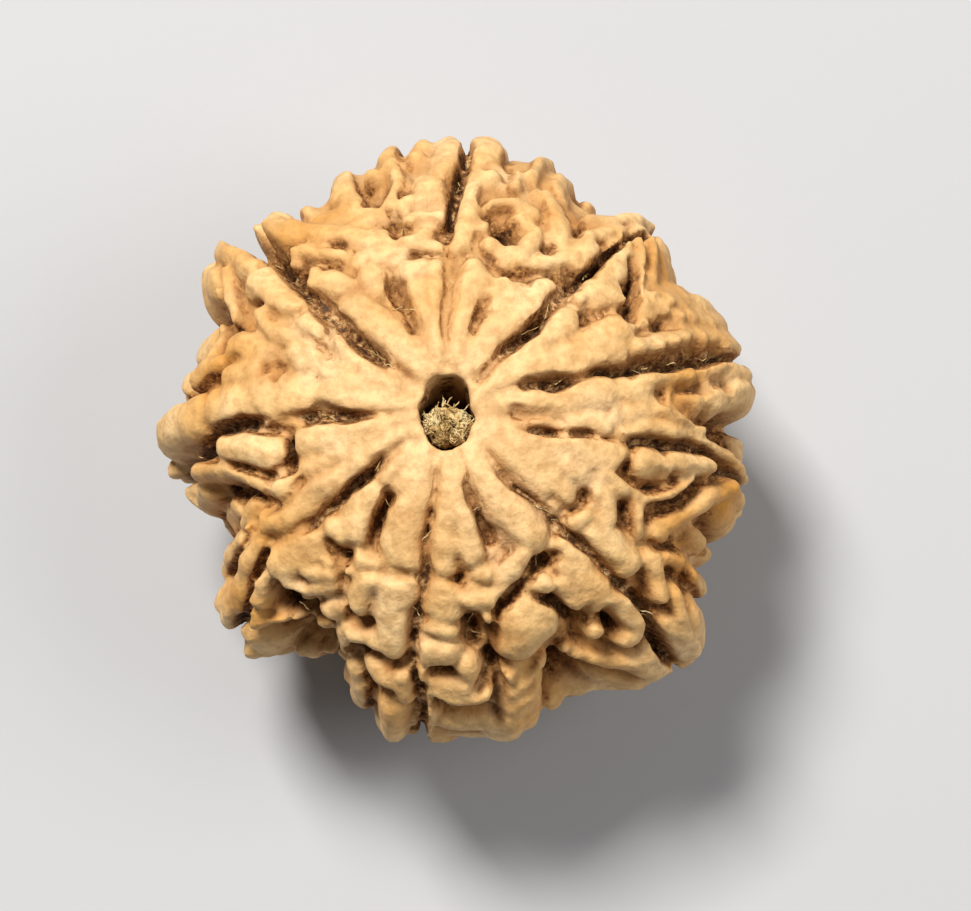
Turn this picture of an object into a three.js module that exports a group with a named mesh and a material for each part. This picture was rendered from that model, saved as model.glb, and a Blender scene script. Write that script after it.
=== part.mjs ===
// Rudraksha seed: one woody, deeply wrinkled stone with nine clefts that run from pole to pole,
// a thread hole right through it, and a wad of dried pith in the hole's upper mouth.
//
// The surface is a flattened spheroid. Every place on it is given by two angles in degrees: the
// azimuth, turned counter-clockwise from +X about the hole, and the polar angle, from the upper
// mouth down. A relief function says how far the skin stands above or below the spheroid there.
// Millimetres, +Z up. The seed stands on the flattened crests round its lower mouth at z = 0.

import * as THREE from 'three';

// Driving sizes, mm.
const EQUATOR_R = 12.4;        // spheroid radius across the clefts
const HALF_HEIGHT = 9.5;       // spheroid half height along the hole
const FLAT_DEPTH = 0.5;        // how far above the spheroid's lower pole the seed is worn flat
const HOLE_R = 1.2;            // thread hole
const HOLE_ROWS = 3;           // rings of facets down the hole's wall
const DISH_DEPTH = 0.5;        // the sunken bowl round each mouth
const DISH_ANGLE = 10;         // and how far it reaches, degrees
const WRINKLE_BLEND = 0.12;    // fillet where two ridges grow into each other
const CREST_POWER = 2.2;       // 2 gives a half-round ridge, more a flatter crest
const RIDGE_SWELL = 1.15;      // ridges are this many times as wide as their listed core
const CREASE_WIDTH = 0.17;     // share of a ridge's width taken by the crease beside its neighbour
const CREASE_FROM = 0.3;       // a crease begins this share of the way down a ridge's flank
const CREASE_FADE = 0.35;      // and is fully sunk this much further down
const RUN_ON_ANGLE = 68;       // ridges that end past this polar angle run on over the equator
const RUN_ON_END = 92;         // as far as this
const CLEFT_POWER = 2.4;       // 2 gives a cleft a round floor, more a flatter one with steep walls
const CLEFT_END = 100;         // clefts run down to this polar angle, where the lower half's meet them
const BELT = 15;               // the nets of both halves interlock this far either side of the equator
const BELT_FADE = 0.12;        // mm a net sinks for each degree beyond the equator
const RIM_FROM = 35;           // the rim's own outline begins to count at this polar angle
const RIM_OVER = 35;           // and is reached over as many degrees more
const ROUTE_STEP = 3;          // routes follow the curve of the seed in steps of this many degrees

const CAP_ANGLE = 20;          // fingers and mouths fill the caps within this angle of a pole
const CAP_ROWS = 5;            // rings of facets over each cap
const SIDE_ROWS = 41;          // and between the caps
const COLUMN_ANGLE = 3.45;     // facets are about this wide, degrees

const MEAN_STEP = 0.6;         // a corner's height is a mean over this share of the facets round it

const PLUG_R = 0.78;           // pith wad, clear of the hole's wall all round
const PLUG_OFFSET_Y = -0.12;   // it lies against the near side and leaves a dark gap behind
const PLUG_TOP = 0.55;         // its crown lies this far below the mouth
const PLUG_LENGTH = 3.2;
const PLUG_LUMP = 0.06;        // share of its radius lost between its strands
const PLUG_SIDES = 20;

// [polar angle, depth of the ground between the ridges below the spheroid]
const GROUND = [
  [0, 0.05], [11, 0.05], [17, 0.4], [30, 0.7], [50, 0.9], [65, 1], [80, 1.15], [180, 1.3],
];
// [polar angle, share of a ridge's full width]: the ridges fan out from the mouth like fingers
const FINGER_TAPER = [[0, 0.6], [12, 0.62], [18, 0.8], [28, 1], [60, 1], [78, 1.18], [180, 1.18]];
// [polar angle, depth of the crease where two ridges lie side by side]
const CREASE_DEPTH = [[0, 0], [12, 0], [20, 0.35], [30, 0.5], [180, 0.55]];
// [polar angle, depth of a cleft]
const CLEFT_DEPTH = [[0, 0], [12, 0.05], [15, 0.7], [22, 1.2], [40, 1.6], [180, 1.9]];

// [azimuth, radius of the crests at the rim, seen from above]
const RIM = [
  [0, 12.35], [11, 13.15], [21, 13.05], [27, 12.95], [33, 12.55], [36, 12.2], [42, 12.8], [48, 13.25],
  [53, 12.8], [59, 12.45], [64, 12.6], [70, 13.2], [80, 13.6], [100, 13.4], [106, 13.1], [112, 12.85],
  [120, 12.5], [127, 12.9], [133, 13.2], [142, 13.1], [150, 12], [156, 11.4], [162, 11.6],
  [170, 12.15], [175, 12.3], [180, 12.2], [190, 11.25], [200, 9.8], [208, 10.8], [213, 11.8],
  [220, 12], [225, 12.15], [230, 11.3], [235, 10.5], [240, 10.1], [245, 10.9], [250, 11.3],
  [258, 12.4], [265, 12.1], [284, 12.5], [290, 11.9], [295, 10.9], [301, 11.3], [309, 12.95],
  [322, 13.5], [330, 12.4], [335, 11.6], [346, 12.4], [353, 12.65],
];

// The nine clefts, each a route of [azimuth, polar angle, half width], in turn round the seed.
const CLEFTS = [
  [[21.5, 13, 0.2], [20, 16, 0.36], [18, 20, 0.38], [17.3, 25, 0.26], [17.5, 30, 0.2],
   [16.3, 35, 0.24], [16, 40, 0.34], [16.4, 47, 0.36], [16.5, 54, 0.34], [17, 62, 0.32],
   [17.2, 72, 0.25]],
  [[50, 13, 0.2], [48.5, 17, 0.38], [46.5, 23, 0.36], [47.5, 28, 0.34], [48.7, 34, 0.3],
   [48.7, 39, 0.28], [47.8, 46, 0.28], [48, 52, 0.22], [47.5, 59, 0.18], [47, 68, 0.2]],
  [[90, 12, 0.24], [89.7, 20, 0.28], [89, 30, 0.22], [89.3, 36, 0.24], [89, 44, 0.3], [88.8, 50, 0.24],
   [87.8, 55, 0.2], [87, 61, 0.2], [86, 70, 0.22]],
  [[138, 12, 0.15], [138.5, 18, 0.4], [139, 24, 0.36], [138, 31, 0.34], [137.5, 37, 0.3],
   [136, 43, 0.22], [135.5, 48, 0.2], [135, 56, 0.3], [135.5, 66, 0.4]],
  [[180, 12, 0.18], [180, 17, 0.3], [179, 23, 0.4], [178.8, 28, 0.24], [179.3, 34, 0.2],
   [179.3, 40, 0.22], [179, 45, 0.3], [180, 50, 0.34], [182.5, 56, 0.4], [184.5, 63, 0.4],
   [186, 72, 0.35]],
  [[213.5, 11, 0.2], [214.5, 16, 0.3], [216.5, 22, 0.3], [218.5, 29, 0.26], [218, 34, 0.2],
   [216.8, 39, 0.18], [216.5, 45, 0.24], [217, 50, 0.34], [218.5, 58, 0.38], [220, 66, 0.3],
   [220.5, 74, 0.25]],
  [[260, 13, 0.2], [260.9, 19, 0.22], [260.5, 24, 0.2], [261.3, 31, 0.24], [261, 40, 0.14],
   [262.5, 48, 0.18], [263, 56, 0.16], [264, 64, 0.22], [264.5, 74, 0.24]],
  [[314.5, 12, 0.2], [315, 20, 0.3], [315.5, 27, 0.26], [317.5, 36, 0.22], [318, 42, 0.2],
   [317.5, 50, 0.24], [317.5, 60, 0.34], [316, 70, 0.36], [316, 80, 0.3]],
  [[350.5, 13, 0.15], [350.5, 19, 0.24], [351.5, 24, 0.22], [354, 29, 0.16], [354.8, 35, 0.14],
   [355, 42, 0.22], [355.5, 50, 0.24], [356, 58, 0.24], [353.5, 65, 0.3], [353, 72, 0.3]],
];

// The ridges and knobs of the raised net, lobe by lobe: [half width, crest above the spheroid,
// route of [azimuth, polar angle]]. A route of one place is a knob.
const RIDGES = [
  // lobe A, azimuth 89 to 137
  [0.5, 0, [[98, 10], [97, 22], [94.5, 31]]], [0.5, -0.1, [[106, 32], [100, 32]]],
  [0.8, 0.05, [[121, 11], [126, 20], [130, 28]]], [0.6, -0.05, [[120, 30], [117, 34]]],
  [0.45, -0.15, [[104, 11], [104, 20], [103, 28]]],
  [0.65, 0.15, [[132, 41], [129.5, 37.5], [128, 34]]],
  [0.8, 0.15, [[130, 66], [127.5, 59], [122.5, 53], [117, 46]]], [0.9, 0.05, [[117, 47], [112, 40]]],
  [0.6, 0, [[114, 36], [108, 36]]], [0.4, 0.1, [[92.5, 44.5], [98, 45], [100.5, 44]]],
  [0.42, 0.1, [[103.5, 38.5], [97, 37.5], [93, 36.5]]], [0.75, 0.15, [[94.6, 53.5]]],
  [0.5, 0.1, [[99, 49.5], [102, 48]]], [0.62, 0.1, [[90.8, 59], [90, 70]]], [0.5, 0.1, [[97, 66]]],
  [0.5, 0.1, [[101.5, 56], [101.5, 70]]], [0.45, 0.15, [[106.5, 64]]],
  [0.6, 0, [[113, 54], [113, 64], [111, 76]]], [0.45, 0.05, [[103.5, 55], [104.5, 50]]],
  [0.5, 0.1, [[96, 74], [95, 84]]], [1.2, -0.35, [[95, 50], [95, 64], [94, 80]]],
  [1.2, -0.35, [[103, 66], [104, 80]]], [0.9, -0.15, [[112, 50], [119, 58]]],
  // lobe I, azimuth 49 to 89
  [0.55, 0, [[82, 10], [79.5, 20], [79.5, 31]]], [0.4, -0.15, [[75.5, 24], [74.5, 30]]],
  [0.75, 0, [[62, 10], [60, 20], [63, 29]]], [0.7, 0.05, [[56, 24], [54.5, 33]]],
  [0.5, 0, [[68.5, 23], [68, 29.5]]], [0.48, 0.1, [[85.5, 35.5], [84.5, 40], [84.5, 50], [83.5, 58]]],
  [0.75, 0.1, [[83, 64], [83, 76]]], [0.45, 0.15, [[80.5, 54.5]]], [0.4, 0.05, [[75.5, 61]]],
  [0.4, 0.05, [[72.5, 63], [72, 76]]], [0.42, 0.1, [[79.5, 47.5], [75.5, 50], [71, 50.5]]],
  [0.45, 0, [[80, 42]]], [0.45, 0.1, [[76, 37.5]]], [0.5, 0.1, [[65.5, 36], [65.5, 40], [65.5, 44.5]]],
  [0.4, 0, [[70.5, 35], [70, 38]]], [0.6, 0, [[61, 38], [56, 42]]],
  [0.7, 0.05, [[57, 41], [54, 46], [53, 51]]], [0.7, 0.05, [[68, 58], [63, 54], [59, 47]]],
  [0.5, 0, [[70, 46], [68, 50]]], [1.2, -0.3, [[73, 56], [72, 66], [72, 80]]],
  [0.9, -0.5, [[64, 58], [61, 68], [60, 74]]], [0.8, -0.2, [[78, 50], [79, 60]]],
  [0.5, 0.1, [[57, 60], [54, 64], [51, 69]]], [0.5, 0.05, [[54, 53], [51, 62]]],
  [0.6, 0, [[66, 64], [66, 78]]],
  // lobe H, azimuth 18 to 49
  [0.65, 0.05, [[34, 10], [38, 20], [40.5, 31]]],
  [0.95, 0.1, [[27, 10], [27, 20], [27.5, 30], [28, 40]]],
  [0.5, 0.1, [[22.5, 22], [22, 30], [22.5, 38]]], [0.95, 0.12, [[41.5, 40.5], [41, 45.5]]],
  [0.55, 0.12, [[43.5, 36.5]]], [0.5, 0.1, [[46, 46], [47, 58]]], [0.65, 0.1, [[43, 50], [45, 56]]],
  [1.1, -0.1, [[46, 68], [40, 64], [35, 58]]], [1.2, -0.1, [[42, 80], [36, 70], [32, 60]]],
  [1.2, -0.2, [[27, 60], [26, 74]]], [0.8, 0.05, [[33, 51], [32.5, 60]]],
  [0.7, 0, [[31, 66], [30, 80]]], [0.4, 0.1, [[29, 47]]], [0.4, 0.05, [[28.5, 43.5]]],
  [0.4, 0.15, [[29.3, 55]]], [0.4, 0.1, [[26.5, 58]]], [0.5, 0.05, [[26, 63]]],
  [0.5, -0.05, [[23, 42], [22.5, 56], [22, 68]]], [0.42, 0.12, [[22, 43]]], [0.42, 0.15, [[21.5, 48]]],
  [0.38, 0.15, [[21.3, 52.5]]], [0.4, 0.1, [[21.5, 57.5]]], [0.42, 0.15, [[21, 63]]],
  [0.45, 0.1, [[20.5, 71], [20, 82]]], [0.6, 0, [[25.5, 68], [25, 78]]],
  // lobe G, azimuth 354 to 378
  [0.75, 0.05, [[8, 10], [8, 20], [9, 30], [9.5, 40]]], [0.6, 0, [[355, 17], [357.5, 24], [359, 31]]],
  [0.5, 0.15, [[13, 40], [13, 47], [12.8, 53]]], [0.7, 0, [[3, 34], [4, 42]]],
  [0.6, 0, [[6, 48], [7, 56]]], [0.7, 0.05, [[9, 60], [7, 64]]],
  [0.6, 0.1, [[15, 58], [15, 66], [14, 78]]], [0.7, 0.1, [[10, 70], [10, 85]]],
  [0.42, 0.1, [[357, 35.5], [358.5, 42], [358.5, 50], [357.5, 60], [355, 74]]],
  // lobe F, azimuth 316 to 354
  [0.78, 0.05, [[344, 10], [344, 20], [346, 30], [348, 34]]],
  [0.8, 0.05, [[331, 10], [328, 20], [326.5, 26.5]]], [0.6, 0, [[337, 16], [337, 29]]],
  [0.7, 0.1, [[348.5, 42], [349.5, 46]]], [0.55, 0.1, [[351, 48], [352, 54], [352.5, 60]]],
  [0.7, 0.15, [[323.5, 33.5], [324.5, 39], [323.5, 46]]],
  [0.6, 0.1, [[328, 38], [332, 36], [335.5, 34.5]]], [0.4, 0.05, [[341, 33], [338, 39]]],
  [0.52, 0.15, [[333.5, 51.5], [337, 56], [342, 60.5], [347, 64], [350, 74]]],
  [0.42, 0.15, [[330.5, 57], [332, 64]]], [0.5, 0.05, [[331.5, 72], [331, 82]]],
  [0.6, 0.1, [[327.5, 52], [325, 55], [322.5, 58]]],
  [0.45, 0.15, [[325.5, 62], [322.5, 66], [320, 70]]], [0.5, 0, [[319, 66], [318, 78]]],
  [1.2, -0.45, [[336, 64], [335, 76]]], [0.6, 0, [[325, 74], [324, 84]]],
  [0.6, 0, [[338, 68], [338, 80]]], [0.7, 0.05, [[346, 74], [345, 86]]],
  // lobe E, azimuth 262 to 316
  [0.6, 0.1, [[270, 10], [269.5, 20], [268.5, 29]]],
  [0.55, 0.1, [[277, 12], [279, 20], [280.5, 27.5]]], [0.88, 0.1, [[302, 10], [302, 20], [304, 28]]],
  [0.55, 0, [[299, 30], [293, 33], [288, 36]]], [0.5, -0.05, [[284, 32], [279, 33]]],
  [0.75, 0.1, [[268.2, 35], [268.5, 39]]], [0.68, 0.1, [[268.5, 43.5]]],
  [0.6, 0.1, [[277, 35.5], [282, 36.5]]], [0.68, 0.15, [[266, 49.5], [270, 49.5]]],
  [0.6, 0.15, [[275.5, 53.5], [275, 59]]], [0.42, 0.2, [[267.5, 62.5], [273, 64.5], [278.5, 62]]],
  [0.4, 0.1, [[265.3, 62], [265.3, 74]]], [0.6, 0, [[269, 77], [280, 78]]],
  [0.6, 0.1, [[286, 68], [283, 75], [282, 86]]], [1.5, 0.25, [[291.5, 48]]], [0.4, 0, [[283.5, 58]]],
  [0.42, 0, [[287, 63], [291, 61.5]]], [0.4, 0, [[284.5, 64]]],
  [0.85, 0.1, [[312, 36], [311, 42], [311.5, 48]]],
  [0.6, 0.1, [[313.5, 50], [314.5, 56], [314.5, 60]]], [0.6, 0.1, [[305, 41], [306.5, 46.5]]],
  [0.5, 0.15, [[299, 37.5], [302, 40]]], [0.4, 0.05, [[305, 56.5], [307.5, 55]]],
  [0.4, 0.1, [[310.5, 61], [314, 62]]], [0.6, 0.1, [[301, 65], [306, 69], [312, 71], [315, 70]]],
  [0.9, -0.2, [[303, 84], [309, 90]]], [0.8, -0.35, [[285, 60], [284, 72]]],
  [0.6, 0, [[290, 68], [287, 76]]], [0.6, 0, [[311, 76], [313, 88]]],
  // lobe D, azimuth 217 to 262
  [0.45, 0.05, [[228, 10], [226, 17]]], [0.62, 0.1, [[226, 21], [228, 25], [232, 28.5]]],
  [0.5, 0.1, [[224.5, 31], [229, 31.5]]], [0.6, 0, [[236, 10], [238, 16]]],
  [0.8, 0.1, [[245, 10], [247, 17], [249, 25], [253, 30]]], [0.42, 0, [[238, 32.5], [244, 32.5]]],
  [0.9, 0.1, [[221.5, 38], [220.8, 43], [220.3, 48]]], [0.5, 0.05, [[226, 42], [231, 41]]],
  [0.45, 0, [[225.5, 49], [230, 47], [234.5, 44]]], [0.55, 0.05, [[220, 55], [221, 60]]],
  [0.5, 0.05, [[221, 65], [225, 68.5], [228, 66]]], [0.5, -0.1, [[221, 77], [228, 76]]],
  [0.55, 0, [[238.5, 50], [238, 55]]], [0.45, -0.1, [[237, 61], [238.5, 70]]],
  [0.58, 0.1, [[244.5, 37], [243.5, 41], [243.5, 45]]],
  [0.75, 0.1, [[253, 34.5], [254, 41], [255.5, 49]]], [0.55, 0.05, [[244, 55], [248, 53], [251, 51]]],
  [0.5, 0, [[241.5, 58], [243.5, 64]]], [0.88, 0.15, [[254.5, 60.5]]],
  [0.4, 0.05, [[260, 57], [260.5, 66]]], [0.5, 0, [[248, 69], [250, 78]]],
  [0.65, 0.05, [[258, 72], [259, 82]]],
  // lobe C, azimuth 180 to 217
  [0.75, 0.1, [[187, 10], [188, 20], [188.5, 27]]],
  [0.78, 0.15, [[186.5, 49.5], [187, 43], [190, 37]]],
  [0.45, 0.05, [[188.5, 70], [188.5, 60], [191, 53], [195, 47], [199, 42]]],
  [0.75, 0.12, [[201.5, 38], [203, 34.5]]],
  [0.65, 0.1, [[206, 10], [208, 19], [209.5, 28], [210.5, 38], [208.5, 46]]],
  [0.4, 0.18, [[206, 49.5], [205.5, 51.5]]], [0.5, 0, [[197, 12], [198, 20], [201, 29]]],
  [0.6, 0, [[211.5, 49], [213.5, 54], [215.5, 61], [217, 70]]], [0.5, 0, [[207, 60], [207, 76]]],
  [0.6, -0.1, [[202, 50], [203, 57]]], [0.6, 0, [[199, 62], [200, 78]]],
  [0.6, 0, [[192, 74], [193, 86]]],
  // lobe B, azimuth 137 to 180
  [0.45, 0.15, [[138.5, 66], [140, 58]]], [0.8, 0.1, [[142, 53], [144, 45], [144, 42]]],
  [0.42, 0.05, [[143, 66], [147, 62.5], [150, 58.5]]], [0.52, 0.15, [[146, 36], [147.5, 31.5]]],
  [0.42, 0.1, [[146.5, 26], [149, 20], [152, 11]]], [0.5, 0.05, [[149.5, 48], [151, 43], [153, 37]]],
  [0.6, 0.05, [[156.5, 34], [158, 29]]], [0.6, 0, [[160, 10], [158, 18], [159, 25]]],
  [0.4, 0, [[154, 66], [158, 66], [163, 64]]], [0.75, 0.18, [[158.5, 50]]],
  [0.8, 0, [[157, 55], [158.5, 46], [160, 41]]], [0.7, 0.05, [[163, 60], [165, 67]]],
  [0.7, 0.05, [[164, 42], [165, 50]]],
  [1, 0.1, [[172, 10], [171, 22], [172, 32], [173, 42], [174.5, 52]]],
  [0.95, 0.15, [[175.5, 58], [176.5, 66], [177, 78]]], [0.7, 0, [[157, 72], [158, 84]]],
  [0.6, 0, [[145, 74], [146, 86]]],
];

// Pits, creases and gaps sunk into the net: [half width, depth, route].
const HOLLOWS = [
  [0.36, 0.5, [[112.5, 29.5], [111, 24], [109.5, 19.5]]], [0.25, 0.35, [[99, 42], [96, 42]]],
  [0.33, 0.8, [[104.5, 58], [107.5, 53]]], [0.24, 0.5, [[71.5, 24], [71, 17]]],
  [0.24, 0.4, [[71, 31.5], [64, 34], [57, 37], [53.5, 38]]], [0.45, 1.3, [[75.5, 43], [72.5, 43.5]]],
  [0.25, 0.25, [[64.5, 37], [64, 40]]], [0.3, 0.45, [[359.5, 12], [358.5, 16], [357, 22]]],
  [0.3, 0.5, [[9, 50], [11, 54.5]]], [0.35, 0.35, [[7, 48.5], [5, 52]]], [0.6, 1, [[4, 66], [4, 85]]],
  [0.25, 0.8, [[330, 31.5]]], [0.26, 0.7, [[334.5, 40.5], [332.5, 41]]], [0.4, 0.25, [[346.5, 46]]],
  [0.24, 1.1, [[341.5, 41.5], [342.5, 45], [345.5, 49.5]]],
  [0.25, 0.8, [[330, 51], [332, 56], [334.5, 62]]], [0.3, 0.9, [[327.5, 58.5], [328.5, 68]]],
  [0.24, 0.8, [[284.5, 14], [286.5, 19], [289, 26]]],
  [0.34, 1.1, [[309, 34.5], [302, 34.5], [295, 37], [288.5, 38.5], [284, 41]]],
  [0.46, 0.9, [[275.5, 43], [276.5, 48]]], [0.35, 1, [[265.5, 55.5], [270, 56]]],
  [0.35, 1, [[267, 68], [272, 69], [279, 68.5]]],
  [0.3, 1, [[281.5, 44], [281.5, 52], [282, 62], [281, 70]]],
  [0.3, 1, [[298, 41.5], [301.5, 44.5], [303.5, 50], [303, 57]]], [0.38, 1, [[309, 54.5], [310, 58]]],
  [1.2, 2, [[296, 69], [296, 90]]], [0.3, 0.9, [[235.5, 20], [236.5, 23.5], [238.5, 27.5]]],
  [0.3, 1, [[226, 34], [230, 34.5], [234.5, 33.3]]], [0.25, 0.5, [[223, 52], [228, 50.5]]],
  [0.5, 0.8, [[224.5, 55], [227, 57]]], [0.7, 1.4, [[227, 58], [233, 57], [236, 57.5]]],
  [1.1, 1.8, [[230, 70], [236, 70], [236, 85]]], [0.28, 0.8, [[242, 48], [247, 48.5]]],
  [0.25, 1, [[253.5, 54], [249.5, 57.5], [245, 63]]], [0.3, 1.1, [[188, 31.5], [193, 32], [198, 33]]],
  [0.25, 0.9, [[190.5, 49], [193.5, 43.5], [196.5, 38.5]]],
  [0.3, 0.7, [[193, 62], [197, 53], [200.5, 46]]], [0.25, 0.4, [[205, 40], [204, 44]]],
  [0.25, 0.6, [[148, 53], [147, 49]]], [0.3, 0.8, [[153.5, 59], [153, 54], [152, 50]]],
  [0.3, 0.8, [[161.5, 33.5], [166, 35]]], [0.35, 0.6, [[176, 22], [175.5, 25.5]]],
  [0.5, 2, [[136.5, 59], [137, 80]]], [1.2, 2, [[59, 80], [59, 95]]], [1.1, 2, [[120, 72], [120, 90]]],
  [0.9, 0.8, [[186, 78], [187, 90]]], [0.8, 1, [[339, 82], [339, 92]]],
  [0.9, 1.2, [[200, 84], [200, 95]]],
];

// The relief.
const radians = THREE.MathUtils.degToRad;

function lookUp(table, x) {
  const last = table.length - 1;
  if (x <= table[0][0]) return table[0][1];
  if (x >= table[last][0]) return table[last][1];
  const i = table.findIndex((row) => row[0] > x);
  const [x0, y0] = table[i - 1];
  const [x1, y1] = table[i];
  return y0 + (y1 - y0) * (x - x0) / (x1 - x0);
}

function onSpheroid(azimuth, polar) {
  const out = EQUATOR_R * Math.sin(radians(polar));
  return new THREE.Vector3(
    out * Math.cos(radians(azimuth)),
    out * Math.sin(radians(azimuth)),
    HALF_HEIGHT * Math.cos(radians(polar)),
  );
}

// A route with a row at least every few degrees, and each row's place on the spheroid.
function bend(route) {
  const rows = [route[0]];
  for (let i = 1; i < route.length; i += 1) {
    const start = route[i - 1];
    const end = route[i];
    const turn = Math.abs(end[0] - start[0]) * Math.sin(radians(Math.max(start[1], end[1])));
    const steps = Math.max(1, Math.ceil(Math.max(turn, Math.abs(end[1] - start[1])) / ROUTE_STEP));
    for (let s = 1; s <= steps; s += 1) {
      rows.push(start.map((value, column) => value + (end[column] - value) * s / steps));
    }
  }
  const places = rows.map(([azimuth, polar]) => onSpheroid(azimuth, polar));
  return { rows, places, ball: new THREE.Sphere().setFromPoints(places) };
}

const FAR = 9;                 // half widths away: further than any ridge counts
const segment = new THREE.Line3();
const onSegment = new THREE.Vector3();

// How far a spot lies from a bent route, and near which of its rows.
function nearest({ rows, places }, spot) {
  let away = spot.distanceTo(places[0]);
  let at = 0;
  for (let i = 1; i < places.length; i += 1) {
    segment.set(places[i - 1], places[i]);
    const along = segment.closestPointToPointParameter(spot, true);
    const gap = segment.at(along, onSegment).distanceTo(spot);
    if (gap < away) {
      away = gap;
      at = i - 1 + along;
    }
  }
  return { away, row: rows[Math.round(at)] };
}

// Ridges that come near the equator run on over it.
function runOn(route) {
  const [azimuth, polar] = route.at(-1);
  const reachesRim = route.length > 1 && polar >= RUN_ON_ANGLE && polar < 90;
  return reachesRim ? [...route, [azimuth, RUN_ON_END]] : route;
}

function overEquator(route) {
  const [azimuth, , halfWidth] = route.at(-1);
  return [...route, [azimuth, CLEFT_END, halfWidth]];
}

const bentRidges = RIDGES.map(([width, crest, route]) => (
  { width, crest, bent: bend(runOn(route)) }
));
const bentHollows = HOLLOWS.map(([width, depth, route]) => ({ width, depth, bent: bend(route) }));
const bentClefts = CLEFTS.map((route) => bend(overEquator(route)));

function blendMax(a, b, fillet) {
  const share = THREE.MathUtils.clamp(0.5 + 0.5 * (b - a) / fillet, 0, 1);
  return a + (b - a) * share + fillet * share * (1 - share);
}

// Height of the skin above the spheroid, for the pattern drawn on the upper half.
function upperRelief(azimuth, polar) {
  const spot = onSpheroid(azimuth, polar);
  const ground = -lookUp(GROUND, polar);
  const taper = lookUp(FINGER_TAPER, polar);
  let height = ground;
  // How far down the flanks of the two nearest ridges the spot is, as shares of their half widths.
  let first = FAR;
  let second = FAR;
  for (const { width, crest, bent } of bentRidges) {
    const reach = width * RIDGE_SWELL * taper;
    if (bent.ball.distanceToPoint(spot) > 2 * reach) continue;
    const share = nearest(bent, spot).away / reach;
    if (share < 1) {
      const rise = Math.sqrt(1 - share ** CREST_POWER);
      height = blendMax(height, ground + (crest - ground) * rise, WRINKLE_BLEND);
    }
    second = Math.min(second, Math.max(first, share));
    first = Math.min(first, share);
  }
  // A crease runs where two ridges lie side by side, but not where one grows out of another.
  const flank = THREE.MathUtils.clamp((first - CREASE_FROM) / CREASE_FADE, 0, 1);
  const seam = Math.exp(-(((second - first) / CREASE_WIDTH) ** 2));
  height -= lookUp(CREASE_DEPTH, polar) * seam * flank;
  height -= DISH_DEPTH * Math.exp(-((polar / DISH_ANGLE) ** 2));
  for (const { width, depth, bent } of bentHollows) {
    const reach = width * RIDGE_SWELL;
    if (bent.ball.distanceToPoint(spot) > reach) continue;
    const share = nearest(bent, spot).away / reach;
    if (share < 1) height -= depth * (1 - share ** 2) ** 2;
  }
  const cleftDepth = lookUp(CLEFT_DEPTH, polar);
  for (const cleft of bentClefts) {
    const { away, row } = nearest(cleft, spot);
    height = Math.min(height, cleftDepth * ((away / row[2]) ** CLEFT_POWER - 1));
  }
  return height;
}

// Lobes: the strips of skin between one cleft and the next.
function cleftAzimuth(index, polar) {
  const turns = Math.floor(index / CLEFTS.length);
  const route = CLEFTS[index - turns * CLEFTS.length];
  const fromPole = Math.min(polar, 180 - polar);
  return 360 * turns + lookUp(route.map(([azimuth, angle]) => [angle, azimuth]), fromPole);
}

function azimuthInLobe(lobe, share, polar) {
  const start = cleftAzimuth(lobe, polar);
  const end = cleftAzimuth(lobe + 1, polar);
  return start + (end - start) * share;
}

// The lower half carries the same net turned over, lobe by lobe, and both nets meet and
// interlock in the belt round the equator.
function relief(lobe, share, polar) {
  const above = upperRelief(azimuthInLobe(lobe, share, polar), polar);
  const below = upperRelief(azimuthInLobe(lobe, 1 - share, polar), 180 - polar);
  if (polar < 90 - BELT) return above;
  if (polar > 90 + BELT) return below;
  const lean = (polar - 90) * BELT_FADE;
  return blendMax(above - Math.max(0, lean), below - Math.max(0, -lean), WRINKLE_BLEND);
}

function rimScale(azimuth, polar) {
  const turned = ((azimuth % 360) + 360) % 360;
  const rim = lookUp([...RIM, [360, RIM[0][1]]], turned);
  const fromPole = Math.min(polar, 180 - polar);
  const nearEquator = THREE.MathUtils.clamp((fromPole - RIM_FROM) / RIM_OVER, 0, 1);
  return 1 + (rim / EQUATOR_R - 1) * nearEquator;
}

function skin(lobe, share, polar, height) {
  const azimuth = azimuthInLobe(lobe, share, polar);
  const spot = onSpheroid(azimuth, polar);
  const outward = new THREE.Vector3(
    spot.x / EQUATOR_R ** 2,
    spot.y / EQUATOR_R ** 2,
    spot.z / HALF_HEIGHT ** 2,
  ).normalize();
  const scale = rimScale(azimuth, polar);
  spot.set(spot.x * scale, spot.y * scale, spot.z);
  spot.addScaledVector(outward, height);
  spot.z = Math.max(spot.z, FLAT_DEPTH - HALF_HEIGHT);
  return spot;
}

// The stone: rings of facets from the upper mouth over the skin to the lower mouth, and back up
// the hole, so that the hole's wall is part of the same closed sheet.
function spread(from, to, count) {
  return Array.from({ length: count }, (_, i) => from + (to - from) * i / count);
}

// Mean height over the facets round a place, as they are coarser than the finest wrinkles.
function meanRelief(lobe, share, polar, shareStep, polarStep) {
  const heights = [-1, 0, 1].flatMap((across) => [-1, 0, 1].map((down) => (
    relief(lobe, share + across * MEAN_STEP * shareStep, polar + down * MEAN_STEP * polarStep)
  )));
  return heights.reduce((sum, height) => sum + height, 0) / heights.length;
}

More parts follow.
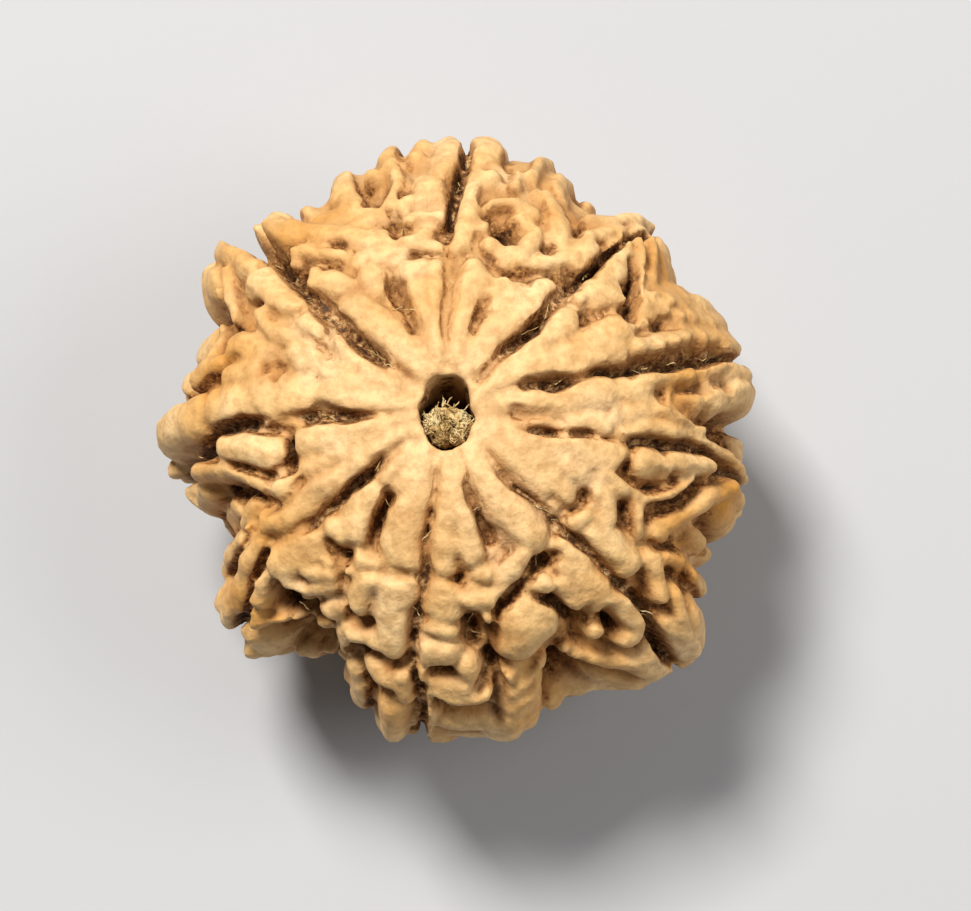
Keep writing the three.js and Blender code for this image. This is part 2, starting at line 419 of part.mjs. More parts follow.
function stoneGeometry() {
  const columns = [];
  for (let lobe = 0; lobe < CLEFTS.length; lobe += 1) {
    const span = cleftAzimuth(lobe + 1, 60) - cleftAzimuth(lobe, 60);
    const count = Math.round(span / COLUMN_ANGLE);
    for (let i = 0; i < count; i += 1) columns.push([lobe, i / count, 1 / count]);
  }
  const mouth = THREE.MathUtils.radToDeg(Math.asin(HOLE_R / EQUATOR_R));
  const polars = [
    ...spread(mouth, CAP_ANGLE, CAP_ROWS),
    ...spread(CAP_ANGLE, 180 - CAP_ANGLE, SIDE_ROWS),
    ...spread(180 - CAP_ANGLE, 180 - mouth, CAP_ROWS),
    180 - mouth,
  ];
  const rings = polars.map((polar, row) => {
    const isMouth = row === 0 || row === polars.length - 1;
    const polarStep = isMouth ? 0 : polars[row + 1] - polar;
    return columns.map(([lobe, share, shareStep]) => (
      skin(lobe, share, polar, meanRelief(lobe, share, polar, isMouth ? 0 : shareStep, polarStep))
    ));
  });
  const upper = rings[0];
  const lower = rings.at(-1);
  for (let row = 1; row < HOLE_ROWS; row += 1) {
    rings.push(lower.map((spot, i) => spot.clone().lerp(upper[i], row / HOLE_ROWS)));
  }
  const positions = rings.flat().flatMap((spot) => [spot.x, spot.y, spot.z]);
  const faces = [];
  const around = columns.length;
  rings.forEach((ring, row) => {
    const next = (row + 1) % rings.length;
    for (let i = 0; i < around; i += 1) {
      const j = (i + 1) % around;
      const a = row * around + i;
      const b = next * around + i;
      const c = next * around + j;
      const d = row * around + j;
      faces.push(a, b, c, a, c, d);
    }
  });
  const geometry = new THREE.BufferGeometry();
  geometry.setAttribute('position', new THREE.Float32BufferAttribute(positions, 3));
  geometry.setIndex(faces);
  return geometry;
}

// The pith: a short lumpy wad, closed at both ends.
function pithGeometry(crown) {
  const outline = [
    [0, 0], [0.55, 0.02], [0.85, 0.08], [1, 0.2], [1, 0.5], [0.95, 0.8], [0.8, 0.95], [0.45, 1], [0, 1],
  ].map(([out, down]) => new THREE.Vector2(out * PLUG_R, -down * PLUG_LENGTH)).reverse();
  const geometry = new THREE.LatheGeometry(outline, PLUG_SIDES);
  geometry.rotateX(Math.PI / 2);
  const places = geometry.attributes.position;
  for (let i = 0; i < places.count; i += 1) {
    const x = places.getX(i);
    const y = places.getY(i);
    const z = places.getZ(i);
    const lump = 1 - PLUG_LUMP * (1 + Math.sin(5 * Math.atan2(y, x) + 4 * z)) * 0.5;
    places.setXYZ(i, x * lump, y * lump + PLUG_OFFSET_Y, z + crown);
  }
  geometry.computeVertexNormals();
  return geometry;
}

// Assembly.
const stone = new THREE.Mesh(
  stoneGeometry(),
  new THREE.MeshStandardMaterial({ color: '#c08a58', roughness: 0.62, metalness: 0 }),
);
stone.name = 'seed_stone';

const mouthHeight = HALF_HEIGHT + upperRelief(0, 0);
const plug = new THREE.Mesh(
  pithGeometry(mouthHeight - PLUG_TOP),
  new THREE.MeshStandardMaterial({ color: '#a8936a', roughness: 0.9, metalness: 0 }),
);
plug.name = 'pith_plug';

// Centre the seed over the origin, with its flat resting crests at z = 0.
const box = new THREE.Box3().setFromObject(stone);
const middle = box.getCenter(new THREE.Vector3());
for (const mesh of [stone, plug]) mesh.geometry.translate(-middle.x, -middle.y, -box.min.z);

const group = new THREE.Group();
group.name = 'rudraksha_seed';
group.add(stone, plug);

export default group;
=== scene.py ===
# Rudraksha seed: the finished look of the woody stone, its pith and the loose fibre in its clefts.
#
# Every place on the stone is given as on the part itself, by an azimuth, turned counter-clockwise
# from +X about the thread hole, and a polar angle from the upper mouth down, both in degrees. The
# same ridges, hollows and clefts are raised here on a much finer sheet. Lengths are millimetres
# until a mesh is made, and metres from then on.

import math
import bmesh
import bpy
import numpy as np
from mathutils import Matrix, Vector
from mathutils.bvhtree import BVHTree


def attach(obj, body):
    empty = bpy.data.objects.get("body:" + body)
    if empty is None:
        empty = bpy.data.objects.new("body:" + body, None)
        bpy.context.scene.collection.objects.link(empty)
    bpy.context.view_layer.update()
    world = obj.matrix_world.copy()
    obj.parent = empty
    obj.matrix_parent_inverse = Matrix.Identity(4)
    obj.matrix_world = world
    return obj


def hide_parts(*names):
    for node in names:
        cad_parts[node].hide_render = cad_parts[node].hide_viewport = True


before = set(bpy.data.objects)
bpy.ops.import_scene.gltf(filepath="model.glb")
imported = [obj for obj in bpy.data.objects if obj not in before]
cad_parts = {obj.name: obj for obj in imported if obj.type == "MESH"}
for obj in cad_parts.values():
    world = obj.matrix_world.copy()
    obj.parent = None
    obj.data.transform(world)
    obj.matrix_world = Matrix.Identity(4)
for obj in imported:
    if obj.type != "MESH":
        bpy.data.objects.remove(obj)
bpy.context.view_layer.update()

MM = 0.001

# The stone's sizes, mm and degrees.
EQUATOR_R = 12.4  # spheroid radius across the clefts
HALF_HEIGHT = 9.5  # spheroid half height along the hole
FLAT_DEPTH = 0.5  # the lower crests are worn flat this far above the lower pole
HOLE_R = 1.2  # thread hole
DISH_DEPTH = 0.5  # the sunken bowl round each mouth
DISH_ANGLE = 10
RIDGE_BLEND = 0.14  # fillet where two ridges grow into each other
CREST_POWER = 2.2  # 2 gives a half-round ridge, more a flatter crest
SWELL = 1.15  # ridges and hollows are this much wider than their listed core
RIDGE_SEARCH = 1.4  # half widths: no taper makes a ridge reach further than this
CREASE_WIDTH = 0.17  # share of a ridge's width taken by the crease beside its neighbour
CREASE_START = 0.3  # no crease within this share of a half width from a ridge's middle
CREASE_RISE = 0.35  # and a full one this share further out
MOUTH_ANGLE = 5  # fingers that start within FINGER_ANGLE of the pole begin here
FINGER_ANGLE = 12
RUN_ON_ANGLE = 68  # ridges that end past this polar angle run on over the equator
RUN_ON_END = 92
CLEFT_POWER = 2.4  # 2 gives a cleft a round floor, more a flatter floor and steeper walls
CLEFT_END = 100  # clefts run on over the equator to here
CLEFT_REACH = 0.8  # mm from a cleft's middle to the top of its walls, at most
CLEFT_BLEND = 0.12  # fillet along a cleft's lips
PULP_BLEND = 0.1  # fillet where pulp meets a cleft's walls
PULP_DIP = 0.3  # pulp is this much lower at its sides
BELT = 15  # the nets of both halves interlock this far either side of the equator
BELT_FADE = 0.12
RIM_START = 35  # the outline at the rim fades in from this polar angle
RIM_FADE = 35  # and is full this much further down
BEND_STEP = 3  # degrees between the rows of a bent route, at most
FAR_OFF = 9.0  # half widths to a ridge that isn't near
NO_SKIN = -99.0  # mm, below any skin
RIPPLE_WAVES = 14

# [wavelength, reach] of the waves that move every ridge a little, mm
WANDER = [[3.6, 0.1], [1.3, 0.035]]
# [wavelength, height, seed] of the fine lumps on the skin, mm
LUMPS = [[1.7, 0.05, 21], [0.75, 0.025, 22]]
FLAT_MARGIN = 0.05  # mm: the skin this near to the worn flats has no lumps

# The upper mouth is broken, and both are worn uneven, mm.
MOUTH_REACH = 0.5  # the wear fades out over this from the hole's wall
MOUTH_DEPTH = 2.5  # and over this down the hole
MOUTH_WEAR = 0.07  # share of the radius
LOWER_MOUTH = 0.1  # the lower mouth is wider by this share

# The sheet and the even mesh that it is turned into.
AROUND = 756  # quads round the sheet
OVER = 250  # quads over the skin from mouth to mouth
THROUGH = 40  # and back up the hole
LOBE_ANGLE = 60.0  # the columns are shared out among the lobes at this polar angle
TINY = 1e-6  # share of the sheet, against rounding
WELD = 1e-4  # mm
VOXEL = 0.15  # mm
MOST_FACES = 196000  # triangles it is then thinned to

# What the stone's colours follow.
# Shelter and the creases give painted shade, the crests a painted highlight.
SHELTER_RAYS = 14
SHELTER_GAP = 0.05  # mm
SHELTER_REACH = 2.2  # mm
WIDE_ROUNDS = 60  # smoothing that leaves only the lobes, for the crests
FINE_ROUNDS = 8  # smoothing that leaves the ridges, for the creases
CREASE_GAIN = 4.0
CREST_GAIN = 1.1
POLE_ANGLE = 24  # the dusty skin round each mouth
CLEFT_SPREAD = 0.42  # mm either side of a cleft's middle that its pulp colours
PULP_FROM = 0.35  # mm below the crests where pulp starts
PULP_OVER = 0.35  # mm further down where it is thick
OCHRE_SPREAD = 1.25  # stains are this much wider than listed
OCHRE_FALL = 1.2  # more gives them a sharper edge
OCHRE_WAVE = 5.0  # mm, of a faint stain all over
OCHRE_FAINT = 0.25

# Loose fibres in the clefts and pits, mm.
FIBRE_THICKNESS = 0.05
FIBRE_TIP = 0.4  # share of the thickness at both ends
FIBRE_POINTS = 6
CLEFT_FIBRES = 8  # in each cleft
LOWEST_FIBRE = 66  # polar angle
FIBRE_CROWDING = 1.2  # more than 1 crowds them near the mouth
FIBRE_SWAY = 0.03
FIBRE_ASIDE = 0.02
FIBRE_LIFT = 0.25  # at its ends, a fibre lifts by up to half of this
DEGREE = 0.2  # about the length of a degree down a cleft
PIT_FIBRES = 3  # in each pit
PIT_CURL = 0.22
PIT_SCATTER = 0.45  # share of the pit's radius
PIT_LEVEL = 0.8  # 1 lays every fibre level with the skin

# The wad of pith, mm.
WAD_CENTRE = (0.02, -0.36)  # from the hole's axis: the wad leaves a dark gap at the far side
WAD_R = 1.0
WAD_DEEP = 0.78  # share of the width, front to back
WAD_CROWN = 0.5  # from its widest level up to its crown
WAD_ROOT = 2.2  # and down to its root
WAD_TOP = -0.1  # its crown, from the mouth's rim
WAD_LUMPS = [[0.8, 0.08, 61], [0.3, 0.06, 62], [0.14, 0.03, 63]]
WAD_FIBRES = 120
WAD_THICKNESS = 0.055
WAD_REACH = 1.15  # no strand lies further than this from the hole's axis
WAD_FILL = 0.85  # the strands start over this share of the crown
WAD_SQUASH = 0.85  # and this much closer front to back
WAD_PROUD = 0.12  # and this far above it
WAD_ROUND = 0.45  # they start this much lower at the crown's edge
WAD_SCATTER = 0.04
WAD_LIE = (1, 1, 0.1)  # they lie nearly level
WAD_CURL = 0.4

# The camera, and the lights, in metres and watts.
IMAGE_WIDTH = 971
IMAGE_HEIGHT = 911
CAMERA_ELEVATION = 80  # degrees above the floor, looking along +Y
CAMERA_DISTANCE = 150  # mm from the seed's middle
PIXELS_PER_MM = 23.6  # at the seed's middle
HOLE_PIXEL = (447, 412)  # where the hole's upper mouth lies in the photo
SENSOR = 36  # mm
# [name, direction, distance, width, power, colour]
LIGHTS = [
    ["key", (-0.33, 0.5, 1.0), 0.5, 0.14, 3.6, (1.0, 0.97, 0.93)],
    ["fill", (0.9, 0.0, 0.9), 0.6, 0.35, 1.45, (1.0, 0.98, 0.96)],
]

# [polar angle, depth of the ground between the ridges below the spheroid]
GROUND = [
    [0, 0.1], [7, 0.14], [11, 0.28], [17, 0.45], [30, 0.62], [50, 0.8], [65, 0.9], [80, 1.05],
    [180, 1.2],
]
# [polar angle, share of a ridge's full width]
FINGER_TAPER = [
    [0, 0.22], [6, 0.3], [12, 0.56], [18, 0.8], [28, 1], [60, 1], [78, 1.18], [180, 1.18],
]
# [polar angle, depth of the crease where two ridges lie side by side]
CREASE_DEPTH = [[0, 0], [7, 0.1], [12, 0.2], [20, 0.38], [30, 0.5], [45, 0.65], [180, 0.65]]
# [polar angle, depth of a cleft]
CLEFT_DEPTH = [[0, 0], [12, 0.05], [15, 0.7], [22, 1.2], [40, 1.6], [180, 1.9]]
# [azimuth, radius of the broken upper mouth]
MOUTH_R = [
    [0, 1.08], [20, 1.12], [45, 1.27], [62, 1.6], [72, 1.74], [92, 1.66], [108, 1.74], [118, 1.6],
    [135, 1.27], [160, 1.12], [180, 1.06], [210, 1.2], [240, 1.42], [270, 1.46], [300, 1.42],
    [330, 1.2], [360, 1.08],
]
# [azimuth, radius of the crests at the rim, seen from above]
RIM = [
    [0, 12.35], [11, 13.15], [21, 13.05], [27, 12.95], [33, 12.55], [36, 12.2], [42, 12.8],
    [48, 13.25], [53, 12.8], [59, 12.45], [64, 12.6], [70, 13.2], [80, 13.6], [100, 13.4],
    [106, 13.1], [112, 12.85], [120, 12.5], [127, 12.9], [130.5, 13.1], [132.5, 11.3],
    [134.8, 11.5], [136.8, 13.2], [143, 13.1], [150, 12], [156, 11.4], [162, 11.6], [170, 12.15],
    [175, 12.3], [180, 12.2], [190, 11.25], [200, 9.8], [208, 10.8], [213, 11.8], [220, 12],
    [225, 12.15], [230, 11.3], [235, 10.5], [240, 10.1], [245, 10.9], [250, 11.3], [258, 12.4],
    [265, 12.1], [284, 12.4], [290, 11.9], [295, 11.5], [301, 11.6], [309, 12.95], [322, 13.5],
    [330, 12.4], [335, 11.6], [346, 12.4], [353, 12.65],
]

# The nine clefts in turn round the seed: rows of [azimuth, polar angle, half width].
CLEFTS = [
    [[21.5, 13, 0.2], [20, 16, 0.36], [18, 20, 0.38], [17.3, 25, 0.26], [17.5, 30, 0.2],
     [16.3, 35, 0.24], [16, 40, 0.34], [16.4, 47, 0.36], [16.5, 54, 0.34], [17, 62, 0.32],
     [17.2, 72, 0.25]],
    [[50, 13, 0.2], [48.5, 17, 0.38], [46.5, 23, 0.36], [47.5, 28, 0.34], [48.7, 34, 0.3],
     [48.7, 39, 0.28], [47.8, 46, 0.28], [48, 52, 0.22], [47.5, 59, 0.18], [47, 68, 0.2]],
    [[90, 12, 0.24], [89.7, 20, 0.28], [89, 30, 0.22], [89.3, 36, 0.24], [89, 44, 0.3],
     [88.8, 50, 0.24], [87.8, 55, 0.2], [87, 61, 0.2], [86, 70, 0.22]],
    [[138, 12, 0.15], [138.5, 18, 0.4], [139, 24, 0.36], [138, 31, 0.34], [137.5, 37, 0.3],
     [136, 43, 0.22], [135.5, 48, 0.2], [135, 56, 0.3], [135.5, 66, 0.4]],
    [[180, 12, 0.18], [180, 17, 0.3], [179, 23, 0.4], [178.8, 28, 0.24], [179.3, 34, 0.2],
     [179.3, 40, 0.22], [179, 45, 0.3], [180, 50, 0.34], [182.5, 56, 0.4], [184.5, 63, 0.4],
     [186, 72, 0.35]],
    [[213.5, 11, 0.2], [214.5, 16, 0.3], [216.5, 22, 0.3], [218.5, 29, 0.26], [218, 34, 0.2],
     [216.4, 39, 0.16], [216.2, 45, 0.18], [216.8, 50, 0.2], [218.5, 58, 0.24], [220, 66, 0.26],
     [220.5, 74, 0.25]],
    [[260, 13, 0.2], [260.9, 19, 0.22], [260.5, 24, 0.2], [261.3, 31, 0.24], [261, 40, 0.14],
     [262.5, 48, 0.18], [263, 56, 0.16], [264, 64, 0.22], [264.5, 74, 0.24]],
    [[314.5, 12, 0.2], [315, 20, 0.3], [315.5, 27, 0.26], [317.5, 36, 0.22], [318, 42, 0.2],
     [317.5, 50, 0.24], [317.5, 60, 0.34], [316, 70, 0.36], [316, 80, 0.3]],
    [[350.5, 13, 0.15], [350.5, 19, 0.24], [351.5, 24, 0.22], [354, 29, 0.16], [354.8, 35, 0.14],
     [355, 42, 0.22], [355.5, 50, 0.24], [356, 58, 0.24], [353.5, 65, 0.3], [353, 72, 0.3]],
]

# The ridges and knobs of the raised net, lobe by lobe: [half width, crest above the spheroid,
# then the places of its route]. A ridge with one place is a knob.
RIDGES = [
    # lobe A, azimuth 89 to 137
    [0.5, 0, [98, 10], [97, 22], [94.5, 31]], [0.5, -0.1, [106, 32], [100, 32]],
    [0.8, 0.05, [121, 11], [126, 20], [130, 28]], [0.6, -0.05, [120, 30], [117, 34]],
    [0.45, -0.15, [104, 11], [104, 20], [103, 28]],
    [0.65, 0.15, [132, 41], [129.5, 37.5], [128, 34]],
    [0.35, 0.1, [134.5, 52], [130, 50], [125.5, 45.5], [121.5, 41.5]],
    [0.8, 0.15, [130, 66], [127.5, 59], [122.5, 53], [117, 46]], [0.9, 0.05, [117, 47], [112, 40]],
    [0.6, -0.1, [115, 38.5], [119, 38]], [0.5, -0.1, [97, 41], [101, 40]],
    [0.6, 0, [114, 36], [108, 36]], [0.4, 0.1, [92.5, 44.5], [98, 45], [100.5, 44]],
    [0.42, 0.1, [103.5, 38.5], [97, 37.5], [93, 36.5]], [0.75, 0.15, [94.6, 53.5]],
    [0.5, 0.1, [99, 49.5], [102, 48]], [0.62, 0.1, [90.8, 59], [90, 70]], [0.5, 0.1, [97, 66]],
    [0.5, 0.1, [101.5, 56], [101.5, 70]], [0.45, 0.15, [106.5, 64]],
    [0.6, 0, [113, 54], [113, 64], [111, 76]], [0.45, 0.05, [103.5, 55], [104.5, 50]],
    [0.5, 0.1, [96, 74], [95, 84]], [1.2, -0.5, [95, 50], [95, 64], [94, 80]],
    [1.2, -0.5, [103, 66], [104, 80]], [0.9, -0.2, [112, 50], [119, 58]],
    # lobe I, azimuth 49 to 89
    [0.55, 0, [82, 10], [79.5, 20], [79.5, 31]], [0.4, -0.15, [75.5, 24], [74.5, 30]],
    [0.75, 0, [62, 10], [60, 20], [63, 29]], [0.7, 0.05, [56, 24], [54.5, 33]],
    [0.5, 0, [68.5, 23], [68, 29.5]], [0.48, 0.1, [85.5, 35.5], [84.5, 40], [84.5, 50], [83.5, 58]],
    [0.75, 0.1, [83, 64], [83, 76]], [0.62, 0.22, [80.8, 56.5]], [0.36, 0.25, [75, 56]],
    [0.4, 0.05, [75.5, 61]], [0.4, 0.05, [72.5, 63], [72, 76]], [0.3, 0.1, [75, 57.5]],
    [0.42, 0.1, [79.5, 47.5], [75.5, 50], [71, 50.5]], [0.45, 0, [80, 42]], [0.45, 0.1, [76, 37.5]],
    [0.5, 0.1, [65.5, 36], [65.5, 40], [65.5, 44.5]], [0.4, 0, [70.5, 35], [70, 38]],
    [0.6, 0, [61, 38], [56, 42]], [0.7, 0.05, [57, 41], [54, 46], [53, 51]],
    [0.7, 0.05, [68, 58], [63, 54], [59, 47]], [0.5, 0, [70, 46], [68, 50]],
    [1.2, -0.45, [73, 56], [72, 66], [72, 80]], [0.9, -0.5, [64, 58], [61, 68], [60, 74]],
    [0.8, -0.4, [78, 50], [79, 60]], [0.5, 0.1, [57, 60], [54, 64], [51, 69]],
    [0.5, 0.05, [54, 53], [51, 62]], [0.6, 0, [66, 64], [66, 78]],
    # lobe H, azimuth 18 to 49
    [0.65, 0.05, [34, 10], [38, 20], [40.5, 31]],
    [0.95, 0.1, [27, 10], [27, 20], [27.5, 30], [28, 40]],
    [0.5, 0.1, [22.5, 22], [22, 30], [22.5, 38]], [0.95, 0.12, [41.5, 40.5], [41, 45.5]],
    [0.55, 0.12, [43.5, 36.5]], [0.5, 0.1, [46, 46], [47, 58]], [0.65, 0.1, [43, 50], [45, 56]],
    [0.3, 0.2, [47.5, 63], [44, 60], [40, 57], [36, 53]],
    [0.32, 0.15, [47, 69], [42, 66], [38, 61]], [1.1, -0.1, [46, 68], [40, 64], [35, 58]],
    [1.2, -0.1, [42, 80], [36, 70], [32, 60]], [1.2, -0.2, [27, 60], [26, 74]],
    [0.8, 0.05, [33, 51], [32.5, 60]], [0.7, 0, [31, 66], [30, 80]], [0.35, 0.3, [34.5, 56]],
    [0.33, 0.28, [34.5, 51]], [0.3, 0.28, [36.5, 46]], [0.3, 0.25, [31, 58]],
    [0.33, 0.25, [30, 63]], [0.3, 0.25, [32, 67]], [0.4, 0.1, [29, 47]], [0.4, 0.05, [28.5, 43.5]],
    [0.4, 0.15, [29.3, 55]], [0.4, 0.1, [26.5, 58]], [0.5, 0.05, [26, 63]],
    [0.5, -0.05, [23, 42], [22.5, 56], [22, 68]], [0.42, 0.12, [22, 43]], [0.42, 0.15, [21.5, 48]],
    [0.38, 0.15, [21.3, 52.5]], [0.4, 0.1, [21.5, 57.5]], [0.42, 0.15, [21, 63]],
    [0.45, 0.1, [20.5, 71], [20, 82]], [0.6, 0, [25.5, 68], [25, 78]],
    # lobe G, azimuth 354 to 378
    [0.75, 0.05, [8, 10], [8, 20], [9, 30], [9.5, 40]], [0.6, 0, [355, 17], [357.5, 24], [359, 31]],
    [0.5, 0.15, [13, 40], [13, 47], [12.8, 53]], [0.7, 0, [3, 34], [4, 42]],
    [0.6, 0, [6, 48], [7, 56]], [0.7, 0.05, [9, 60], [7, 64]],
    [0.6, 0.1, [15, 58], [15, 66], [14, 78]], [0.7, 0.1, [10, 70], [10, 85]],
    [0.42, 0.1, [357, 35.5], [358.5, 42], [358.5, 50], [357.5, 60], [355, 74]],
    [0.28, 0.2, [3.5, 44], [2, 50], [0.5, 58]],
    # lobe F, azimuth 316 to 354
    [0.78, 0.05, [344, 10], [344, 20], [346, 30], [348, 34]],
    [0.8, 0.05, [331, 10], [328, 20], [326.5, 26.5]], [0.6, 0, [337, 16], [337, 29]],
    [0.7, 0.1, [348.5, 42], [349.5, 46]], [0.55, 0.1, [351, 48], [352, 54], [352.5, 60]],
    [0.7, 0.15, [323.5, 33.5], [324.5, 39], [323.5, 46]],
    [0.6, 0.1, [328, 38], [332, 36], [335.5, 34.5]], [0.4, 0.05, [341, 33], [338, 39]],
    [0.35, 0.05, [339, 42], [335, 44.5], [331, 46.5]],
    [0.28, 0.1, [339.5, 45], [343.5, 50.5], [348.5, 55]],
    [0.52, 0.15, [333.5, 51.5], [337, 56], [342, 60.5], [347, 64], [350, 74]],
    [0.42, 0.15, [330.5, 57], [332, 64]], [0.5, 0.05, [331.5, 72], [331, 82]],
    [0.6, 0.1, [327.5, 52], [325, 55], [322.5, 58]],
    [0.45, 0.15, [325.5, 62], [322.5, 66], [320, 70]], [0.5, 0, [319, 66], [318, 78]],
    [1.2, -0.45, [336, 64], [335, 76]], [0.6, 0, [325, 74], [324, 84]],
    [0.6, 0, [338, 68], [338, 80]], [0.7, 0.05, [346, 74], [345, 86]],
    # lobe E, azimuth 262 to 316
    [0.6, 0.1, [270, 10], [269.5, 20], [268.5, 29]],
    [0.55, 0.1, [277, 12], [279, 20], [280.5, 27.5]], [0.88, 0.1, [302, 10], [302, 20], [304, 28]],
    [0.55, 0, [299, 30], [293, 33], [288, 36]], [0.5, -0.05, [284, 32], [279, 33]],
    [0.75, 0.1, [268.2, 35], [268.5, 39]], [0.68, 0.1, [268.5, 43.5]],
    [0.6, 0.1, [277, 35.5], [282, 36.5]], [0.28, 0, [281, 38], [281, 43]],
    [0.3, -0.5, [276.5, 46.8]], [0.68, 0.15, [266, 49.5], [270, 49.5]],
    [0.3, 0.05, [263.8, 54], [264.5, 60]], [0.6, 0.15, [275.5, 53.5], [275, 59]],
    [0.42, 0.2, [267.5, 62.5], [273, 64.5], [278.5, 62]], [0.85, 0.1, [268.5, 61], [274, 60.5]],
    [0.4, 0.1, [265.3, 62], [265.3, 74]], [0.6, 0, [269, 77], [280, 78]],
    [0.6, 0.1, [286, 68], [283, 75], [282, 86]], [1.5, 0.25, [291.5, 48]], [0.4, 0, [283.5, 58]],
    [0.42, 0, [287, 63], [291, 61.5]], [0.4, 0, [284.5, 64]], [0.17, -0.6, [293.5, 38]],
    [0.85, 0.1, [312, 36], [311, 42], [311.5, 48]],
    [0.6, 0.1, [313.5, 50], [314.5, 56], [314.5, 60]], [0.6, 0.1, [305, 41], [306.5, 46.5]],
    [0.5, 0.15, [299, 37.5], [302, 40]], [0.4, 0.05, [305, 56.5], [307.5, 55]],
    [0.4, 0.1, [310.5, 61], [314, 62]], [0.6, 0.1, [301, 65], [306, 69], [312, 71], [315, 70]],
    [0.9, -0.2, [303, 84], [309, 90]], [0.35, 0, [298.5, 61]], [0.8, -0.35, [285, 60], [284, 72]],
    [0.6, 0, [290, 68], [287, 76]], [0.6, 0, [311, 76], [313, 88]],
    # lobe D, azimuth 217 to 262
    [0.45, 0.05, [228, 10], [226, 17]], [0.62, 0.1, [226, 21], [228, 25], [232, 28.5]],
    [0.5, 0.1, [224.5, 31], [229, 31.5]], [0.6, 0, [236, 10], [238, 16]],
    [0.8, 0.1, [245, 10], [247, 17], [249, 25], [253, 30]], [0.42, 0, [238, 32.5], [244, 32.5]],
    [0.9, 0.1, [221.5, 38], [220.8, 43], [220.3, 48]], [0.35, 0.05, [229.5, 37.5]],
    [0.5, 0.05, [226, 42], [231, 41]], [0.45, 0, [225.5, 49], [230, 47], [234.5, 44]],
    [0.55, 0.05, [220, 55], [221, 60]], [0.36, -0.1, [231, 56], [230.5, 61]],
    [0.5, 0.05, [221, 65], [225, 68.5], [228, 66]], [0.5, -0.1, [221, 77], [228, 76]],
    [0.25, 0.1, [218.5, 66]], [0.55, 0, [238.5, 50], [238, 55]],
    [0.45, -0.1, [237, 61], [238.5, 70]], [0.35, 0, [237.5, 37]],
    [0.58, 0.1, [244.5, 37], [243.5, 41], [243.5, 45]],
    [0.75, 0.1, [253, 34.5], [254, 41], [255.5, 49]], [0.55, 0.05, [244, 55], [248, 53], [251, 51]],
    [0.5, 0, [241.5, 58], [243.5, 64]], [0.88, 0.15, [254.5, 60.5]],
    [0.4, 0.05, [260, 57], [260.5, 66]], [0.5, 0, [248, 69], [250, 78]],
    [0.65, 0.05, [258, 72], [259, 82]],
    # lobe C, azimuth 180 to 217
    [0.75, 0.1, [187, 10], [188, 20], [188.5, 27]],
    [0.78, 0.15, [186.5, 49.5], [187, 43], [190, 37]],
    [0.45, 0.05, [188.5, 70], [188.5, 60], [191, 53], [195, 47], [199, 42]],
    [0.75, 0.12, [201.5, 38], [203, 34.5]],
    [0.65, 0.1, [206, 10], [208, 19], [209.5, 28], [210.5, 38], [208.5, 46]],
    [0.42, 0.25, [206.5, 51.8]], [0.5, 0, [197, 12], [198, 20], [201, 29]],
    [0.6, 0, [211.5, 49], [213.5, 54], [215.5, 61], [217, 70]], [0.5, 0, [207, 60], [207, 76]],
    [0.6, -0.1, [202, 50], [203, 57]], [0.6, 0, [199, 62], [200, 78]],
    [0.6, 0, [192, 74], [193, 86]],
    # lobe B, azimuth 137 to 180
    [0.6, 0.15, [137.8, 84], [138.3, 66], [140, 58]], [0.8, 0.1, [142, 53], [144, 45], [144, 42]],
    [0.42, 0.05, [143, 66], [147, 62.5], [150, 58.5]], [0.28, 0.15, [146.5, 69]],
    [0.52, 0.15, [146, 36], [147.5, 31.5]], [0.42, 0.1, [146.5, 26], [149, 20], [152, 11]],
    [0.5, 0.05, [149.5, 48], [151, 43], [153, 37]], [0.6, 0.05, [156.5, 34], [158, 29]],
    [0.6, 0, [160, 10], [158, 18], [159, 25]], [0.4, 0, [154, 66], [158, 66], [163, 64]],
    [0.75, 0.18, [158.5, 50]], [0.8, 0, [157, 55], [158.5, 46], [160, 41]],
    [0.7, 0.05, [163, 60], [165, 67]], [0.7, 0.05, [164, 42], [165, 50]],
    [1, 0.1, [172, 10], [171, 22], [172, 32], [173, 42], [174.5, 52]],
    [0.95, 0.15, [175.5, 58], [176.5, 66], [177, 78]], [0.7, 0, [157, 72], [158, 84]],
    [0.6, 0, [145, 74], [146, 86]],
]

